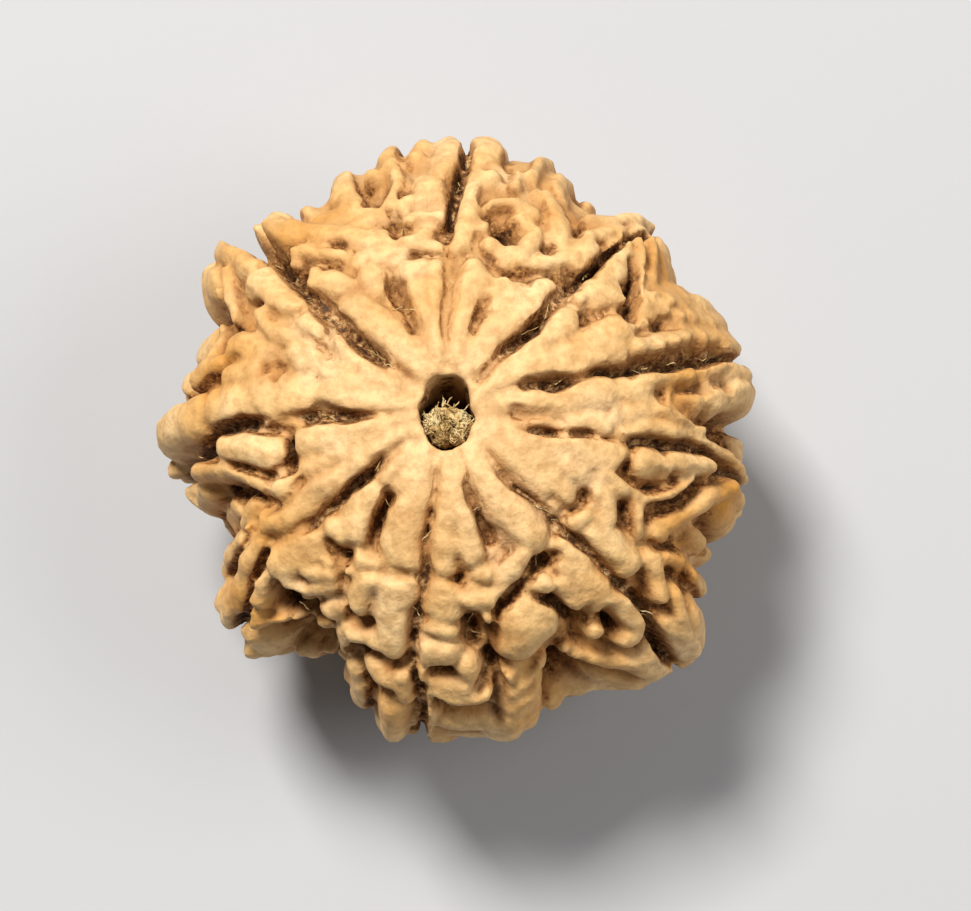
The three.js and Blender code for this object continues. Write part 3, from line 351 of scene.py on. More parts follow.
# Pits, slits and gaps sunk into the net: [half width, depth, places].
HOLLOWS = [
    [0.36, 0.5, [112.5, 29.5], [111, 24], [109.5, 19.5]], [0.16, 0.3, [110.5, 16]],
    [0.2, 0.3, [134, 44], [129, 42], [123, 38.5]],
    [0.22, 0.8, [106.5, 41], [104, 41.5], [101, 40.5]], [0.2, 0.7, [104, 42], [103, 46]],
    [0.16, 0.35, [101, 41.5], [98.5, 42]], [0.12, 0.35, [98.5, 34], [95, 34.7], [92, 34]],
    [0.33, 0.8, [104.5, 58], [107.5, 53]], [0.24, 0.5, [71.5, 24], [71, 17]],
    [0.2, 0.5, [85, 34], [81, 34]], [0.24, 0.4, [71, 31.5], [64, 34], [57, 37], [53.5, 38]],
    [0.45, 1.3, [75.5, 43], [72.5, 43.5]], [0.25, 0.25, [64.5, 37], [64, 40]],
    [0.15, 0.6, [67, 50], [66, 53.5]], [0.14, 0.4, [38, 33], [36.5, 35]],
    [0.14, 0.4, [35.5, 31.5], [34.5, 33]], [0.1, 0.25, [28.5, 36.5]],
    [0.22, 0.9, [43.5, 55.5], [40, 53.5], [36.5, 50.5], [33.5, 47]],
    [0.14, 0.35, [47, 66], [43, 63.5], [40, 61]], [0.16, 0.35, [27.5, 50.5]],
    [0.12, 0.3, [27.5, 46], [25.5, 49.5]], [0.3, 0.45, [359.5, 12], [358.5, 16], [357, 22]],
    [0.3, 0.5, [9, 50], [11, 54.5]], [0.35, 0.35, [7, 48.5], [5, 52]],
    [0.16, 0.5, [14, 66.5], [11.5, 61.5], [9.5, 57]], [0.6, 1, [4, 66], [4, 85]],
    [0.13, 0.3, [0, 34.5], [356.5, 34.5]],
    [0.2, 0.7, [321.5, 25], [322.5, 29.5], [327, 31], [332, 31]], [0.25, 0.8, [330, 31.5]],
    [0.22, 1.1, [347.5, 37.5], [344.5, 37], [342.5, 36]], [0.26, 0.7, [334.5, 40.5], [332.5, 41]],
    [0.4, 0.25, [346.5, 46]], [0.24, 1.1, [341.5, 41.5], [342.5, 45], [345.5, 49.5]],
    [0.22, 0.9, [339.5, 50], [343.5, 53.5], [347, 57], [349.5, 61]],
    [0.25, 0.8, [330, 51], [332, 56], [334.5, 62]], [0.3, 0.9, [327.5, 58.5], [328.5, 68]],
    [0.13, 0.6, [325, 60], [321.5, 62.5]], [0.2, 0.8, [276, 28.5], [276, 32]],
    [0.24, 0.8, [284.5, 14], [286.5, 19], [289, 26]],
    [0.16, 0.5, [272, 31.7], [277, 32], [283, 33.5]],
    [0.34, 1.1, [309, 34.5], [302, 34.5], [295, 37], [288.5, 38.5], [284, 41]],
    [0.46, 0.9, [275.5, 43], [276.5, 48]], [0.22, 0.7, [265.5, 55.5], [271, 56]],
    [0.14, 0.3, [265, 46], [272, 46]], [0.35, 1, [267, 68], [272, 69], [279, 68.5]],
    [0.1, 0.3, [286.5, 44.5], [289.5, 43.5]],
    [0.3, 1, [281.5, 44], [281.5, 52], [282, 62], [281, 70]],
    [0.3, 1, [298, 41.5], [301.5, 44.5], [303.5, 50], [303, 57]], [0.38, 1, [309, 54.5], [310, 58]],
    [0.18, 0.5, [304.5, 53], [308, 52]], [1.3, 2.5, [295, 71], [296, 92]],
    [0.3, 0.9, [235.5, 20], [236.5, 23.5], [238.5, 27.5]],
    [0.3, 1, [226, 34], [230, 34.5], [234.5, 33.3]], [0.2, 0.7, [246, 33], [252, 33], [258, 32.5]],
    [0.25, 0.5, [223, 52], [228, 50.5]], [0.5, 0.8, [224.5, 55], [227, 57]],
    [0.7, 1.4, [227, 58], [233, 57], [236, 57.5]], [1.1, 1.8, [230, 70], [236, 70], [236, 85]],
    [0.28, 0.8, [242, 48], [247, 48.5]], [0.25, 1, [253.5, 54], [249.5, 57.5], [245, 63]],
    [0.3, 1.1, [188, 31.5], [193, 32], [198, 33]],
    [0.25, 0.9, [190.5, 49], [193.5, 43.5], [196.5, 38.5]],
    [0.3, 0.7, [193, 62], [197, 53], [200.5, 46]], [0.25, 0.4, [205, 40], [204, 44]],
    [0.25, 0.6, [148, 53], [147, 49]], [0.15, 0.6, [148.5, 28.5]], [0.15, 0.4, [153.5, 25]],
    [0.14, 0.5, [149.5, 36.5]], [0.3, 0.8, [153.5, 59], [153, 54], [152, 50]],
    [0.12, 0.35, [167, 60], [166, 52]], [0.15, 0.4, [169, 70], [168.5, 61]],
    [0.3, 0.8, [161.5, 33.5], [166, 35]], [0.35, 0.6, [176, 22], [175.5, 25.5]],
    [0.4, 2, [135.2, 59], [134.6, 80]], [0.7, 2.2, [134, 72], [134, 96]],
    [0.17, 0.5, [142.3, 37.5], [146, 38.5], [147, 43], [147, 50]],
    [0.17, 0.5, [144, 36.5], [148.5, 36.8], [151, 33], [151, 28.5]],
    [0.16, 0.45, [143.5, 28.8], [147.5, 27], [152.5, 25]],
    [0.18, 0.6, [206.3, 44], [207, 38], [206.8, 33.5], [204.2, 30.5]],
    [0.17, 0.5, [200.5, 42.5], [197.5, 37], [199.5, 31.5]],
    [0.16, 0.35, [210, 50], [206.5, 47.8], [203, 48]], [0.28, 0.3, [180, 7.5], [180, 13]],
    [0.28, 0.25, [49.5, 8], [50, 13]], [0.25, 0.2, [21, 8], [21.5, 13]],
    [0.25, 0.2, [352, 9], [351, 13]], [0.2, 0.15, [315, 8], [315, 13]],
    [0.25, 0.2, [214, 8], [214, 12]], [0.2, 0.15, [260, 8], [260, 13]],
    [0.22, 0.15, [138, 8], [138, 13]], [0.22, 0.15, [90, 8], [90, 13]],
    [1.2, 2, [59, 80], [59, 95]], [1.1, 2, [120, 72], [120, 90]], [0.9, 0.8, [186, 78], [187, 90]],
    [0.8, 1, [339, 82], [339, 92]], [0.9, 1.2, [200, 84], [200, 95]],
]

# Dried pulp that fills a cleft part of the way: [half width, level, places].
PULP = [
    [0.3, -0.42, [89.7, 13], [89.4, 33]], [0.25, -0.6, [49, 29], [48.7, 36]],
    [0.25, -0.75, [138, 26], [137.5, 38]], [0.25, -0.7, [354, 29], [354.8, 38]],
    [0.25, -0.8, [316, 30], [318, 44]], [0.2, -0.7, [261.3, 28], [261, 36]],
    [0.3, -0.7, [179, 21], [178.8, 26]], [0.2, -0.7, [218.5, 28], [217, 40]],
]

# Ochre-stained places: [azimuth, polar angle, radius mm, strength].
OCHRE = [
    [332, 64, 1.8, 1], [338, 56, 1.4, 0.8], [347, 72, 1.6, 0.9], [160, 52, 1.6, 0.8],
    [209, 46, 1.4, 0.8], [190, 62, 1.2, 0.5], [32, 40, 1.2, 0.5], [13, 52, 1.2, 0.5],
    [218, 66, 1.5, 0.9], [136, 66, 1.6, 0.8], [129, 58, 1.4, 0.6], [120, 48, 1.4, 0.4],
    [96, 20, 1.2, 0.6], [100, 70, 1.5, 0.5], [84, 74, 1.3, 0.4], [228, 62, 1.6, 0.7],
    [302, 72, 1.8, 0.6], [288, 78, 1.6, 0.5], [259, 74, 1.4, 0.5], [20, 74, 1.4, 0.5],
    [42, 66, 1.3, 0.5], [214, 56, 1.2, 0.6], [283, 46, 1, 0.3], [224, 40, 1, 0.3],
]

# Pits that hold fibre: [azimuth, polar angle, radius mm, depth mm].
FIBRE_PITS = [
    [108, 24, 0.7, 0.7], [105, 44, 0.6, 1], [99, 43, 0.5, 1], [166, 34, 0.6, 0.9],
    [74.5, 42, 0.5, 1.2], [233, 34, 0.5, 0.9], [233, 57, 0.9, 1.3], [276, 46, 0.6, 1.1],
    [294, 35, 0.6, 0.9], [345.5, 35.5, 0.5, 0.9], [261, 33, 0.7, 0.8], [251, 33, 0.5, 0.9],
    [331, 32, 0.4, 0.8], [236, 20, 0.4, 0.6], [287, 21, 0.4, 0.6], [303, 31, 0.5, 0.8],
    [196, 33, 0.5, 0.8], [158, 22, 0.5, 0.8], [146, 28, 0.5, 0.8], [51, 34, 0.5, 0.8],
]


# The relief.
def look_up(table, x):
    """Values at x from a table of [x, value] rows, on straight lines between them."""
    rows = np.array(table, float)
    return np.interp(x, rows[:, 0], rows[:, 1])


def on_spheroid(azimuth, polar):
    a = np.radians(azimuth)
    p = np.radians(polar)
    out = EQUATOR_R * np.sin(p)
    return np.stack([out * np.cos(a), out * np.sin(a), HALF_HEIGHT * np.cos(p)], axis=-1)


def from_mouth(polar):
    """Polar angle counted from the nearer mouth."""
    return np.minimum(polar, 180 - polar)


def bend(route):
    """A route with a row at least every few degrees."""
    rows = [route[0]]
    for start, end in zip(route, route[1:]):
        turn = abs(end[0] - start[0]) * math.sin(math.radians(max(start[1], end[1])))
        steps = max(1, math.ceil(max(turn, abs(end[1] - start[1])) / BEND_STEP))
        for s in range(1, steps + 1):
            rows.append([p + (q - p) * s / steps for p, q in zip(start, end)])
    return np.array(rows, float)


def run_on(route):
    """Ridges that reach the rim run on over the equator, and fingers start at the mouth."""
    first, last = route[0], route[-1]
    before = [[first[0], MOUTH_ANGLE]] if first[1] <= FINGER_ANGLE else []
    at_rim = len(route) > 1 and RUN_ON_ANGLE <= last[1] < 90
    after = [[last[0], RUN_ON_END]] if at_rim else []
    return before + route + after


def near_route(spots, route, reach):
    """Which spots lie within reach of a route on the spheroid, how far from it they are, and
    what its further columns say there."""
    rows = bend(route)
    places = on_spheroid(rows[:, 0], rows[:, 1])
    low = places.min(axis=0) - reach
    high = places.max(axis=0) + reach
    near = np.nonzero(((spots > low) & (spots < high)).all(axis=1))[0]
    close = spots[near]
    least = ((close - places[0]) ** 2).sum(axis=1)
    row = np.zeros(len(near))
    for i, (start, end) in enumerate(zip(places, places[1:])):
        along = end - start
        t = np.clip((close - start) @ along / (along @ along), 0, 1)
        gap = ((close - start - t[:, None] * along) ** 2).sum(axis=1)
        row = np.where(gap < least, i + t, row)
        least = np.minimum(least, gap)
    away = np.sqrt(least)
    inside = away < reach
    values = [np.interp(row[inside], np.arange(len(rows)), column) for column in rows.T[2:]]
    return near[inside], away[inside], *values


def blend_max(a, b, fillet):
    """The greater of two heights, with a fillet where they cross."""
    share = np.clip(0.5 + 0.5 * (b - a) / fillet, 0, 1)
    return a + (b - a) * share + fillet * share * (1 - share)


def ripple(spots, wavelength, seed):
    """A smooth random field, about -1 to 1: plane waves of one length in many directions."""
    random = np.random.default_rng(seed)
    field = np.zeros(len(spots))
    for _ in range(RIPPLE_WAVES):
        direction = random.normal(size=3)
        direction /= np.linalg.norm(direction)
        stretch = random.uniform(0.75, 1.35)
        phase = random.uniform(0, 2 * math.pi)
        field += np.sin(spots @ direction * (2 * math.pi * stretch / wavelength) + phase)
    return field / math.sqrt(RIPPLE_WAVES)


def ripples(spots, table, base=0):
    """Ripples added to a base, from rows of [wavelength, height, seed]."""
    return sum((height * ripple(spots, wave, seed) for wave, height, seed in table), base)


def wander(spots, seed):
    """Spots moved about a little, so that no ridge runs or ends too evenly."""
    moved = spots
    for wavelength, reach in WANDER:
        step = [ripple(spots, wavelength, seed + i) for i in range(3)]
        moved = moved + reach * np.stack(step, axis=1)
        seed += 3
    return moved


def upper_relief(azimuth, polar, seed):
    """Height of the skin above the spheroid, for the pattern drawn on the upper half."""
    moved = wander(on_spheroid(azimuth, polar), seed)
    ground = -look_up(GROUND, polar)
    taper = look_up(FINGER_TAPER, polar)
    height = ground.copy()
    nearest = np.full(len(polar), FAR_OFF)
    second = nearest.copy()
    for width, crest, *route in RIDGES:
        reach = width * SWELL
        near, away = near_route(moved, run_on(route), reach * RIDGE_SEARCH)
        share = away / (reach * taper[near])
        rise = np.sqrt(np.clip(1 - share ** CREST_POWER, 0, None))
        raised = ground[near] + (crest - ground[near]) * rise
        height[near] = blend_max(height[near], raised, RIDGE_BLEND)
        second[near] = np.minimum(second[near], np.maximum(nearest[near], share))
        nearest[near] = np.minimum(nearest[near], share)
    # A crease runs where two ridges lie side by side, but not where one grows out of another.
    flank = np.clip((nearest - CREASE_START) / CREASE_RISE, 0, 1)
    seam = np.exp(-((second - nearest) / CREASE_WIDTH) ** 2)
    height -= look_up(CREASE_DEPTH, polar) * seam * flank
    height -= DISH_DEPTH * np.exp(-((polar / DISH_ANGLE) ** 2))
    for width, depth, *route in HOLLOWS:
        reach = width * SWELL
        near, away = near_route(moved, route, reach)
        height[near] -= depth * (1 - (away / reach) ** 2) ** 2
    for route in CLEFTS:
        azimuth_on, _, half_on = route[-1]
        whole = route + [[azimuth_on, CLEFT_END, half_on]]
        near, away, half = near_route(moved, whole, CLEFT_REACH)
        wall = look_up(CLEFT_DEPTH, polar[near]) * ((away / half) ** CLEFT_POWER - 1)
        height[near] = -blend_max(-height[near], -wall, CLEFT_BLEND)
    for width, level, *route in PULP:
        near, away = near_route(moved, route, width)
        fill = level - PULP_DIP * (away / width) ** 2
        height[near] = blend_max(height[near], fill, PULP_BLEND)
    return height


# Lobes: the strips of skin between one cleft and the next.
def cleft_azimuths(polar):
    """Azimuth of each cleft in turn, with the first again one turn on, for many polar angles."""
    rows = []
    for route in CLEFTS:
        middle = [[angle, azimuth] for azimuth, angle, _ in route]
        rows.append(look_up(middle, from_mouth(polar)))
    return np.stack(rows + [rows[0] + 360])


def azimuth_in_lobe(lobe, share, polar):
    """Azimuth of a share of the way across a lobe. Lobes, shares and polar angles are arrays."""
    starts = cleft_azimuths(polar)
    pick = np.arange(len(polar))
    start = starts[lobe, pick]
    return start + (starts[lobe + 1, pick] - start) * share


def relief(lobe, share, polar):
    """Height of the skin. The lower half carries the same net turned over, lobe by lobe."""
    height = np.full(len(polar), NO_SKIN)
    lean = (polar - 90) * BELT_FADE
    upper = polar < 90 + BELT
    azimuth = azimuth_in_lobe(lobe, share, polar)
    above = upper_relief(azimuth[upper], polar[upper], seed=11)
    height[upper] = above - np.maximum(0, lean[upper])
    lower = polar > 90 - BELT
    azimuth = azimuth_in_lobe(lobe, 1 - share, polar)
    below = upper_relief(azimuth[lower], 180 - polar[lower], seed=41)
    below -= np.maximum(0, -lean[lower])
    height[lower] = blend_max(height[lower], below, RIDGE_BLEND)
    return height


def rim_scale(azimuth, polar):
    """How far the stone's outline swells or draws in, which fades out towards both mouths."""
    rim = look_up(RIM + [[360, RIM[0][1]]], azimuth % 360)
    near_equator = np.clip((from_mouth(polar) - RIM_START) / RIM_FADE, 0, 1)
    return 1 + (rim / EQUATOR_R - 1) * near_equator


def skin(azimuth, polar, height):
    """Place of the skin that stands at a height above the spheroid."""
    spots = on_spheroid(azimuth, polar)
    outward = spots / np.array([EQUATOR_R, EQUATOR_R, HALF_HEIGHT]) ** 2
    outward /= np.linalg.norm(outward, axis=1)[:, None]
    spots[:, :2] *= rim_scale(azimuth, polar)[:, None]
    spots += outward * height[:, None]
    spots[:, 2] = np.maximum(spots[:, 2], FLAT_DEPTH - HALF_HEIGHT)
    return spots


def skin_in_lobe(lobe, share, polar):
    return skin(azimuth_in_lobe(lobe, share, polar), polar, relief(lobe, share, polar))


def one_place(azimuth, polar, height):
    return skin(np.array([azimuth]), np.array([polar]), np.array([height]))[0]


# Objects, meshes and shaders.
def linear(hex_colour):
    """An sRGB hex colour as linear RGBA."""
    parts = [int(hex_colour[i:i + 2], 16) / 255 for i in (1, 3, 5)]
    return [c / 12.92 if c <= 0.04045 else ((c + 0.055) / 1.055) ** 2.4 for c in parts] + [1]


def read(mesh, name):
    """The place or the normal of every vertex."""
    flat = np.empty(len(mesh.vertices) * 3)
    mesh.vertices.foreach_get(name, flat)
    return flat.reshape(-1, 3)


def add_attribute(mesh, name, values):
    layer = mesh.attributes.new(name, "FLOAT", "POINT")
    layer.data.foreach_set("value", np.clip(values, 0, 1))


def add_object(name, data):
    thing = bpy.data.objects.new(name, data)
    bpy.context.scene.collection.objects.link(thing)
    return thing


def to_mesh(bm, name):
    mesh = bpy.data.meshes.new(name)
    bm.to_mesh(mesh)
    bm.free()
    return mesh


def finished_mesh(data, *modifiers):
    """The mesh of a curve, or of a mesh with modifiers. Each of them is (kind, settings)."""
    holder = add_object("holder", data)
    for kind, settings in modifiers:
        modifier = holder.modifiers.new(kind.lower(), kind)
        for key, value in settings.items():
            setattr(modifier, key, value)
    depsgraph = bpy.context.evaluated_depsgraph_get()
    mesh = bpy.data.meshes.new_from_object(holder.evaluated_get(depsgraph))
    bpy.data.objects.remove(holder)
    return mesh


def new_piece(name, mesh, material, slot, *nodes):
    piece = add_object(name, mesh)
    mesh.materials.clear()
    mesh.materials.append(material)
    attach(piece, "root")
    if nodes:
        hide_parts(*nodes)


class Shader:
    """A node tree under construction. add() makes a node from its settings and links."""

    def __init__(self, name):
        self.material = bpy.data.materials.new(name)
        self.material.use_nodes = True
        self.tree = self.material.node_tree
        self.tree.nodes.clear()

    def add(self, kind, settings=None, **inputs):
        node = self.tree.nodes.new("ShaderNode" + kind)
        for key, value in (settings or {}).items():
            setattr(node, key, value)
        for key, value in inputs.items():
            self.feed(node, key.replace("_", " "), value)
        return node

    def feed(self, node, name, value):
        socket = node.inputs[int(name)] if name.isdigit() else node.inputs[name]
        if isinstance(value, bpy.types.NodeSocket):
            self.tree.links.new(value, socket)
        else:
            socket.default_value = value

    def math(self, operation, *values, clamp=False):
        node = self.add("Math", {"operation": operation, "use_clamp": clamp})
        for i, value in enumerate(values):
            self.feed(node, str(i), value)
        return node.outputs[0]

    def times(self, first, second):
        return self.math("MULTIPLY", first, second)

    def plus(self, first, second, clamp=False):
        return self.math("ADD", first, second, clamp=clamp)

    def ramp(self, factor, *stops):
        """A grey or coloured ramp. Each stop is (place, value or hex colour)."""
        node = self.add("ValToRGB", Fac=factor)
        while len(node.color_ramp.elements) < len(stops):
            node.color_ramp.elements.new(0.5)
        for element, (place, value) in zip(node.color_ramp.elements, stops):
            element.position = place
            element.color = linear(value) if isinstance(value, str) else (value, value, value, 1)
        return node.outputs["Color"]

    def mix(self, factor, first, second):
        node = self.add("Mix", {"data_type": "RGBA"})
        self.feed(node, "0", factor)
        for place, value in ((6, first), (7, second)):
            self.feed(node, str(place), linear(value) if isinstance(value, str) else value)
        return node.outputs[2]

    def attribute(self, name):
        return self.add("Attribute", {"attribute_name": name}).outputs["Fac"]

    def noise(self, place, size, detail=3.0, roughness=0.5):
        """Noise whose lumps are about size metres across."""
        return self.add("TexNoise", Vector=place, Scale=1 / size, Detail=detail,
                        Roughness=roughness).outputs["Fac"]

    def finish(self, surface):
        self.add("OutputMaterial", Surface=surface)
        return self.material


# Materials.
def seed_shell():
    """Rudraksha stone: hard, dense woody endocarp, cleaned of pulp and lightly oiled by handling.

    The crests are worn smooth to a satin, pale tan, and lightened further by a painted highlight.
    The creases keep a rough brown skin with dried pulp in it; painted shade darkens them and turns
    them nearly black where they are deep. Some knobs are stained ochre.
    """
    s = Shader("seed_shell")
    place = s.add("TexCoord").outputs["Object"]
    names = ("shelter_shade", "crease_shade", "crest", "ochre", "pole", "cleft")
    shelter_shade, crease_shade, crest, ochre, pole, cleft = [s.attribute(name) for name in names]

    # The worn crest: tan, mottled over a few millimetres, dustier near the mouth, with a painted
    # highlight on the crests.
    mottle = s.noise(place, 2.6 * MM, 4)
    tan = s.ramp(mottle, (0.32, "#b37d45"), (0.48, "#cea166"), (0.64, "#e3be8c"))
    grain = s.noise(place, 0.5 * MM, 5, 0.6)
    # Painted highlight: the broad crests of the lobes are lightened towards pale gold.
    tan = s.mix(s.ramp(crest, (0.45, 0.0), (0.85, 0.5)), tan, "#f1cc8e")
    tan = s.mix(s.times(ochre, 0.85), tan, "#cb8a2c")
    tan = s.mix(s.times(pole, 0.55), tan, "#e4bb88")
    tan = s.mix(s.ramp(grain, (0.35, 0.5), (0.6, 0.0)), tan, "#a3743f")

    # Brown skin left in the creases, laid where a place is sheltered, so it is partly painted
    # shade.
    speck = s.noise(place, 0.2 * MM, 4, 0.65)
    brown = s.ramp(speck, (0.36, "#44260f"), (0.48, "#7c4e24"), (0.6, "#ad7a41"), (0.7, "#cda068"))
    edge = s.times(s.math("SUBTRACT", grain, 0.5), 0.55)
    sunk = s.plus(shelter_shade, edge)
    # Painted shade: the tan darkens the more sheltered a place is.
    tan = s.mix(s.ramp(sunk, (0.12, 0.0), (0.4, 0.55)), tan, "#ab7641")
    colour = s.mix(s.ramp(sunk, (0.32, 0.0), (0.46, 0.45), (0.66, 1.0)), tan, brown)
    # Painted shade along the lines of the creases, over the brown skin.
    colour = s.mix(s.times(crease_shade, 0.5), colour, "#65401f")
    # Crumbs of dried pulp on the floors of the clefts, dark skin between them.
    crumbs = s.noise(place, 0.34 * MM, 3, 0.7)
    pulp = s.ramp(crumbs, (0.4, "#331b0c"), (0.48, "#704823"), (0.56, "#a37848"), (0.66, "#cdab7c"))
    colour = s.mix(s.ramp(s.plus(cleft, edge), (0.35, 0.0), (0.7, 0.9)), colour, pulp)
    # Painted shade: the deepest, most sheltered places turn nearly black.
    deep = s.ramp(sunk, (0.68, 0.0), (0.95, 1.0))
    colour = s.mix(s.times(deep, 0.7), colour, "#27140a")

    # Fine pitting and tiny lumps of the woody surface, rougher in the creases.
    lumps = s.noise(place, 0.5 * MM, 3, 0.55)
    pits = s.add("TexVoronoi", Vector=place, Scale=1 / (0.33 * MM)).outputs["Distance"]
    fine = s.noise(place, 0.13 * MM, 3, 0.6)
    height = s.plus(lumps, s.times(pits, 0.3))
    height = s.plus(height, s.times(fine, s.plus(0.2, sunk)))
    bump = s.add("Bump", Strength=0.6, Distance=0.11 * MM, Height=height)

    rough = s.plus(s.times(sunk, 0.3), 0.6, clamp=True)
    wood = s.add("BsdfPrincipled", Base_Color=colour, Roughness=rough, IOR=1.5,
                 Specular_IOR_Level=0.25, Normal=bump.outputs["Normal"])
    return s.finish(wood.outputs[0])


def straw_fibre():
    """Loose plant fibre: thin, dry, pale straw with browner strands among it, and dark patches
    painted as the shade between strands.
    """
    s = Shader("straw_fibre")
    place = s.add("TexCoord").outputs["Object"]
    tone = s.noise(place, 0.7 * MM, 2)
    colour = s.ramp(tone, (0.35, "#917243"), (0.5, "#c2a369"), (0.65, "#e2cd99"))
    # Painted shade: dark patches at random stand for the gaps between strands.
    gap_shade = s.ramp(s.noise(place, 0.2 * MM, 3, 0.6), (0.36, 1.0), (0.5, 0.0))
    colour = s.mix(gap_shade, colour, "#4b3317")
    straw = s.add("BsdfPrincipled", Base_Color=colour, Roughness=0.85, IOR=1.45,
                  Specular_IOR_Level=0.2)
    return s.finish(straw.outputs[0])


def studio_floor():
    """Matt, pale grey backdrop paper."""
    s = Shader("studio_floor")
    paper = s.add("BsdfPrincipled", Base_Color=linear("#b6b7b9"), Roughness=0.85, IOR=1.4)
    return s.finish(paper.outputs[0])


# The stone.
def ragged_mouth(spots):
    """How much wider the worn hole is at each spot: the upper mouth is broken on its far side."""
    out = np.hypot(spots[:, 0], spots[:, 1])
    down = HALF_HEIGHT - np.abs(spots[:, 2])
    near = np.exp(-(((out - HOLE_R) / MOUTH_REACH) ** 2)) * np.exp(-(down / MOUTH_DEPTH) ** 2)
    azimuth = np.degrees(np.arctan2(spots[:, 1], spots[:, 0])) % 360
    upper = look_up(MOUTH_R, azimuth) / HOLE_R - 1
    worn = ripple(spots * (1, 1, 0.2), wavelength=1.0, seed=31)
    return 1 + near * (MOUTH_WEAR * worn + np.where(spots[:, 2] > 0, upper, LOWER_MOUTH))


def stone_sheet():
    """A flat grid rolled up: its columns follow the clefts, and its rows run over the skin
    from the upper mouth to the lower one and back up the wall of the thread hole."""
    bm = bmesh.new()
    bmesh.ops.create_grid(bm, x_segments=AROUND, y_segments=OVER + THROUGH, size=0.5)
    grid = np.array([v.co[:] for v in bm.verts])
    across = grid[:, 0] + 0.5
    down = (grid[:, 1] + 0.5) * (OVER + THROUGH)

    # Columns are shared out among the lobes by their width.
    bounds = cleft_azimuths(np.array([LOBE_ANGLE]))[:, 0]
    shares = (bounds - bounds[0]) / 360
    wrapped = np.where(across > 1 - TINY, 0, across)
    lobe = np.clip(np.searchsorted(shares, wrapped, side="right") - 1, 0, len(CLEFTS) - 1)
    share = (wrapped - shares[lobe]) / (shares[lobe + 1] - shares[lobe])
    mouth = math.degrees(math.asin(HOLE_R / EQUATOR_R))
    polar = mouth + (180 - 2 * mouth) * np.clip(down / OVER, 0, 1)
    spots = skin_in_lobe(lobe, share, polar)

    # The hole's wall: straight from the lower mouth back to the upper one.
    wall = down > OVER + TINY
    back = (down[wall] - OVER) / THROUGH
    low, high = [
        skin_in_lobe(lobe[wall], share[wall], np.full(wall.sum(), angle))
        for angle in (180 - mouth, mouth)
    ]
    spots[wall] = low + (high - low) * back[:, None]
    spots[:, :2] *= ragged_mouth(spots)[:, None]

    for vert, spot in zip(bm.verts, spots):
        vert.co = spot
    bmesh.ops.remove_doubles(bm, verts=bm.verts, dist=WELD)
    bmesh.ops.recalc_face_normals(bm, faces=bm.faces)
    return to_mesh(bm, "stone_sheet")


def even_mesh(mesh):
    """The same surface as an even, lightly smoothed mesh."""
    even = finished_mesh(
        mesh,
        ("REMESH", {"mode": "VOXEL", "voxel_size": VOXEL}),
        ("SMOOTH", {"factor": 0.5, "iterations": 2}),
    )
    ratio = min(1, MOST_FACES / (2 * len(even.polygons)))
    return finished_mesh(even, ("DECIMATE", {"ratio": ratio}))


def neighbour_mean(values, ends):
    """Each vertex's mean over its neighbours, for rows of values and the ends of each edge."""
    count = len(values)
    first, second = ends.T
    sums = [
        np.bincount(first, column[second], count) + np.bincount(second, column[first], count)
        for column in values.T
    ]
    links = np.bincount(first, minlength=count) + np.bincount(second, minlength=count)
    return np.stack(sums, axis=1) / links[:, None]


def sunken(mesh, rounds):
    """How far each vertex lies below the smoothed surface round it."""
    ends = np.empty(len(mesh.edges) * 2, int)
    mesh.edges.foreach_get("vertices", ends)
    start = read(mesh, "co")
    smoothed = start
    for _ in range(rounds):
        smoothed = neighbour_mean(smoothed, ends.reshape(-1, 2))
    return ((smoothed - start) * read(mesh, "normal")).sum(axis=1)


def shelter(mesh):
    """How much of the sky over each vertex its neighbours hide, 0 to 1: it darkens the stone's
    colour as painted shade.
    """
    random = np.random.default_rng(seed=3)
    turn = random.uniform(0, 2 * math.pi, SHELTER_RAYS)
    lift = np.sqrt((np.arange(SHELTER_RAYS) + 0.5) / SHELTER_RAYS)
    rays = np.stack([lift * np.cos(turn), lift * np.sin(turn), np.sqrt(1 - lift ** 2)], axis=1)
    tree = BVHTree.FromPolygons(
        [v.co for v in mesh.vertices], [tuple(p.vertices) for p in mesh.polygons]
    )
    hidden = np.zeros(len(mesh.vertices))
    for i, vert in enumerate(mesh.vertices):
        normal = vert.normal
        side = normal.orthogonal().normalized()
        other = normal.cross(side)
        start = vert.co + normal * SHELTER_GAP
        for x, y, z in rays:
            if tree.ray_cast(start, side * x + other * y + normal * z, SHELTER_REACH)[0]:
                hidden[i] += 1
    return hidden / SHELTER_RAYS


def below_crests(spots):
    """Depth in mm below the crest level, and the two angles, of places on the finished stone."""
    azimuth = np.degrees(np.arctan2(spots[:, 1], spots[:, 0])) % 360
    out = np.hypot(spots[:, 0], spots[:, 1])
    polar = np.degrees(np.arctan2(out / EQUATOR_R, spots[:, 2] / HALF_HEIGHT))
    out = out / rim_scale(azimuth, polar)
    size = np.sqrt((out / EQUATOR_R) ** 2 + (spots[:, 2] / HALF_HEIGHT) ** 2)
    depth = (1 / size - 1) * np.hypot(out, spots[:, 2])
    return depth, azimuth, polar


def in_clefts(azimuth, polar, depth):
    """How close each place is to the floor of a cleft, 0 to 1."""
    starts = cleft_azimuths(polar)
    away = np.abs((azimuth[None] - starts + 180) % 360 - 180).min(axis=0)
    along = EQUATOR_R * np.sin(np.radians(polar)) * np.radians(away)
    low = np.clip((depth - PULP_FROM) / PULP_OVER, 0, 1)
    return np.exp(-((along / CLEFT_SPREAD) ** 2)) * low


def ochre_stain(spots):
    """How strongly each place is stained ochre: listed places, and a faint cloud all over."""
    stain = np.zeros(len(spots))
    for azimuth, polar, radius, strength in OCHRE:
        centre = on_spheroid(azimuth, polar)
        away = np.linalg.norm(spots - centre, axis=1) / (radius * OCHRE_SPREAD)
        stain = np.maximum(stain, strength * np.exp(-away ** 2 * OCHRE_FALL))
    return stain + OCHRE_FAINT * np.clip(ripple(spots, OCHRE_WAVE, seed=5), 0, None)


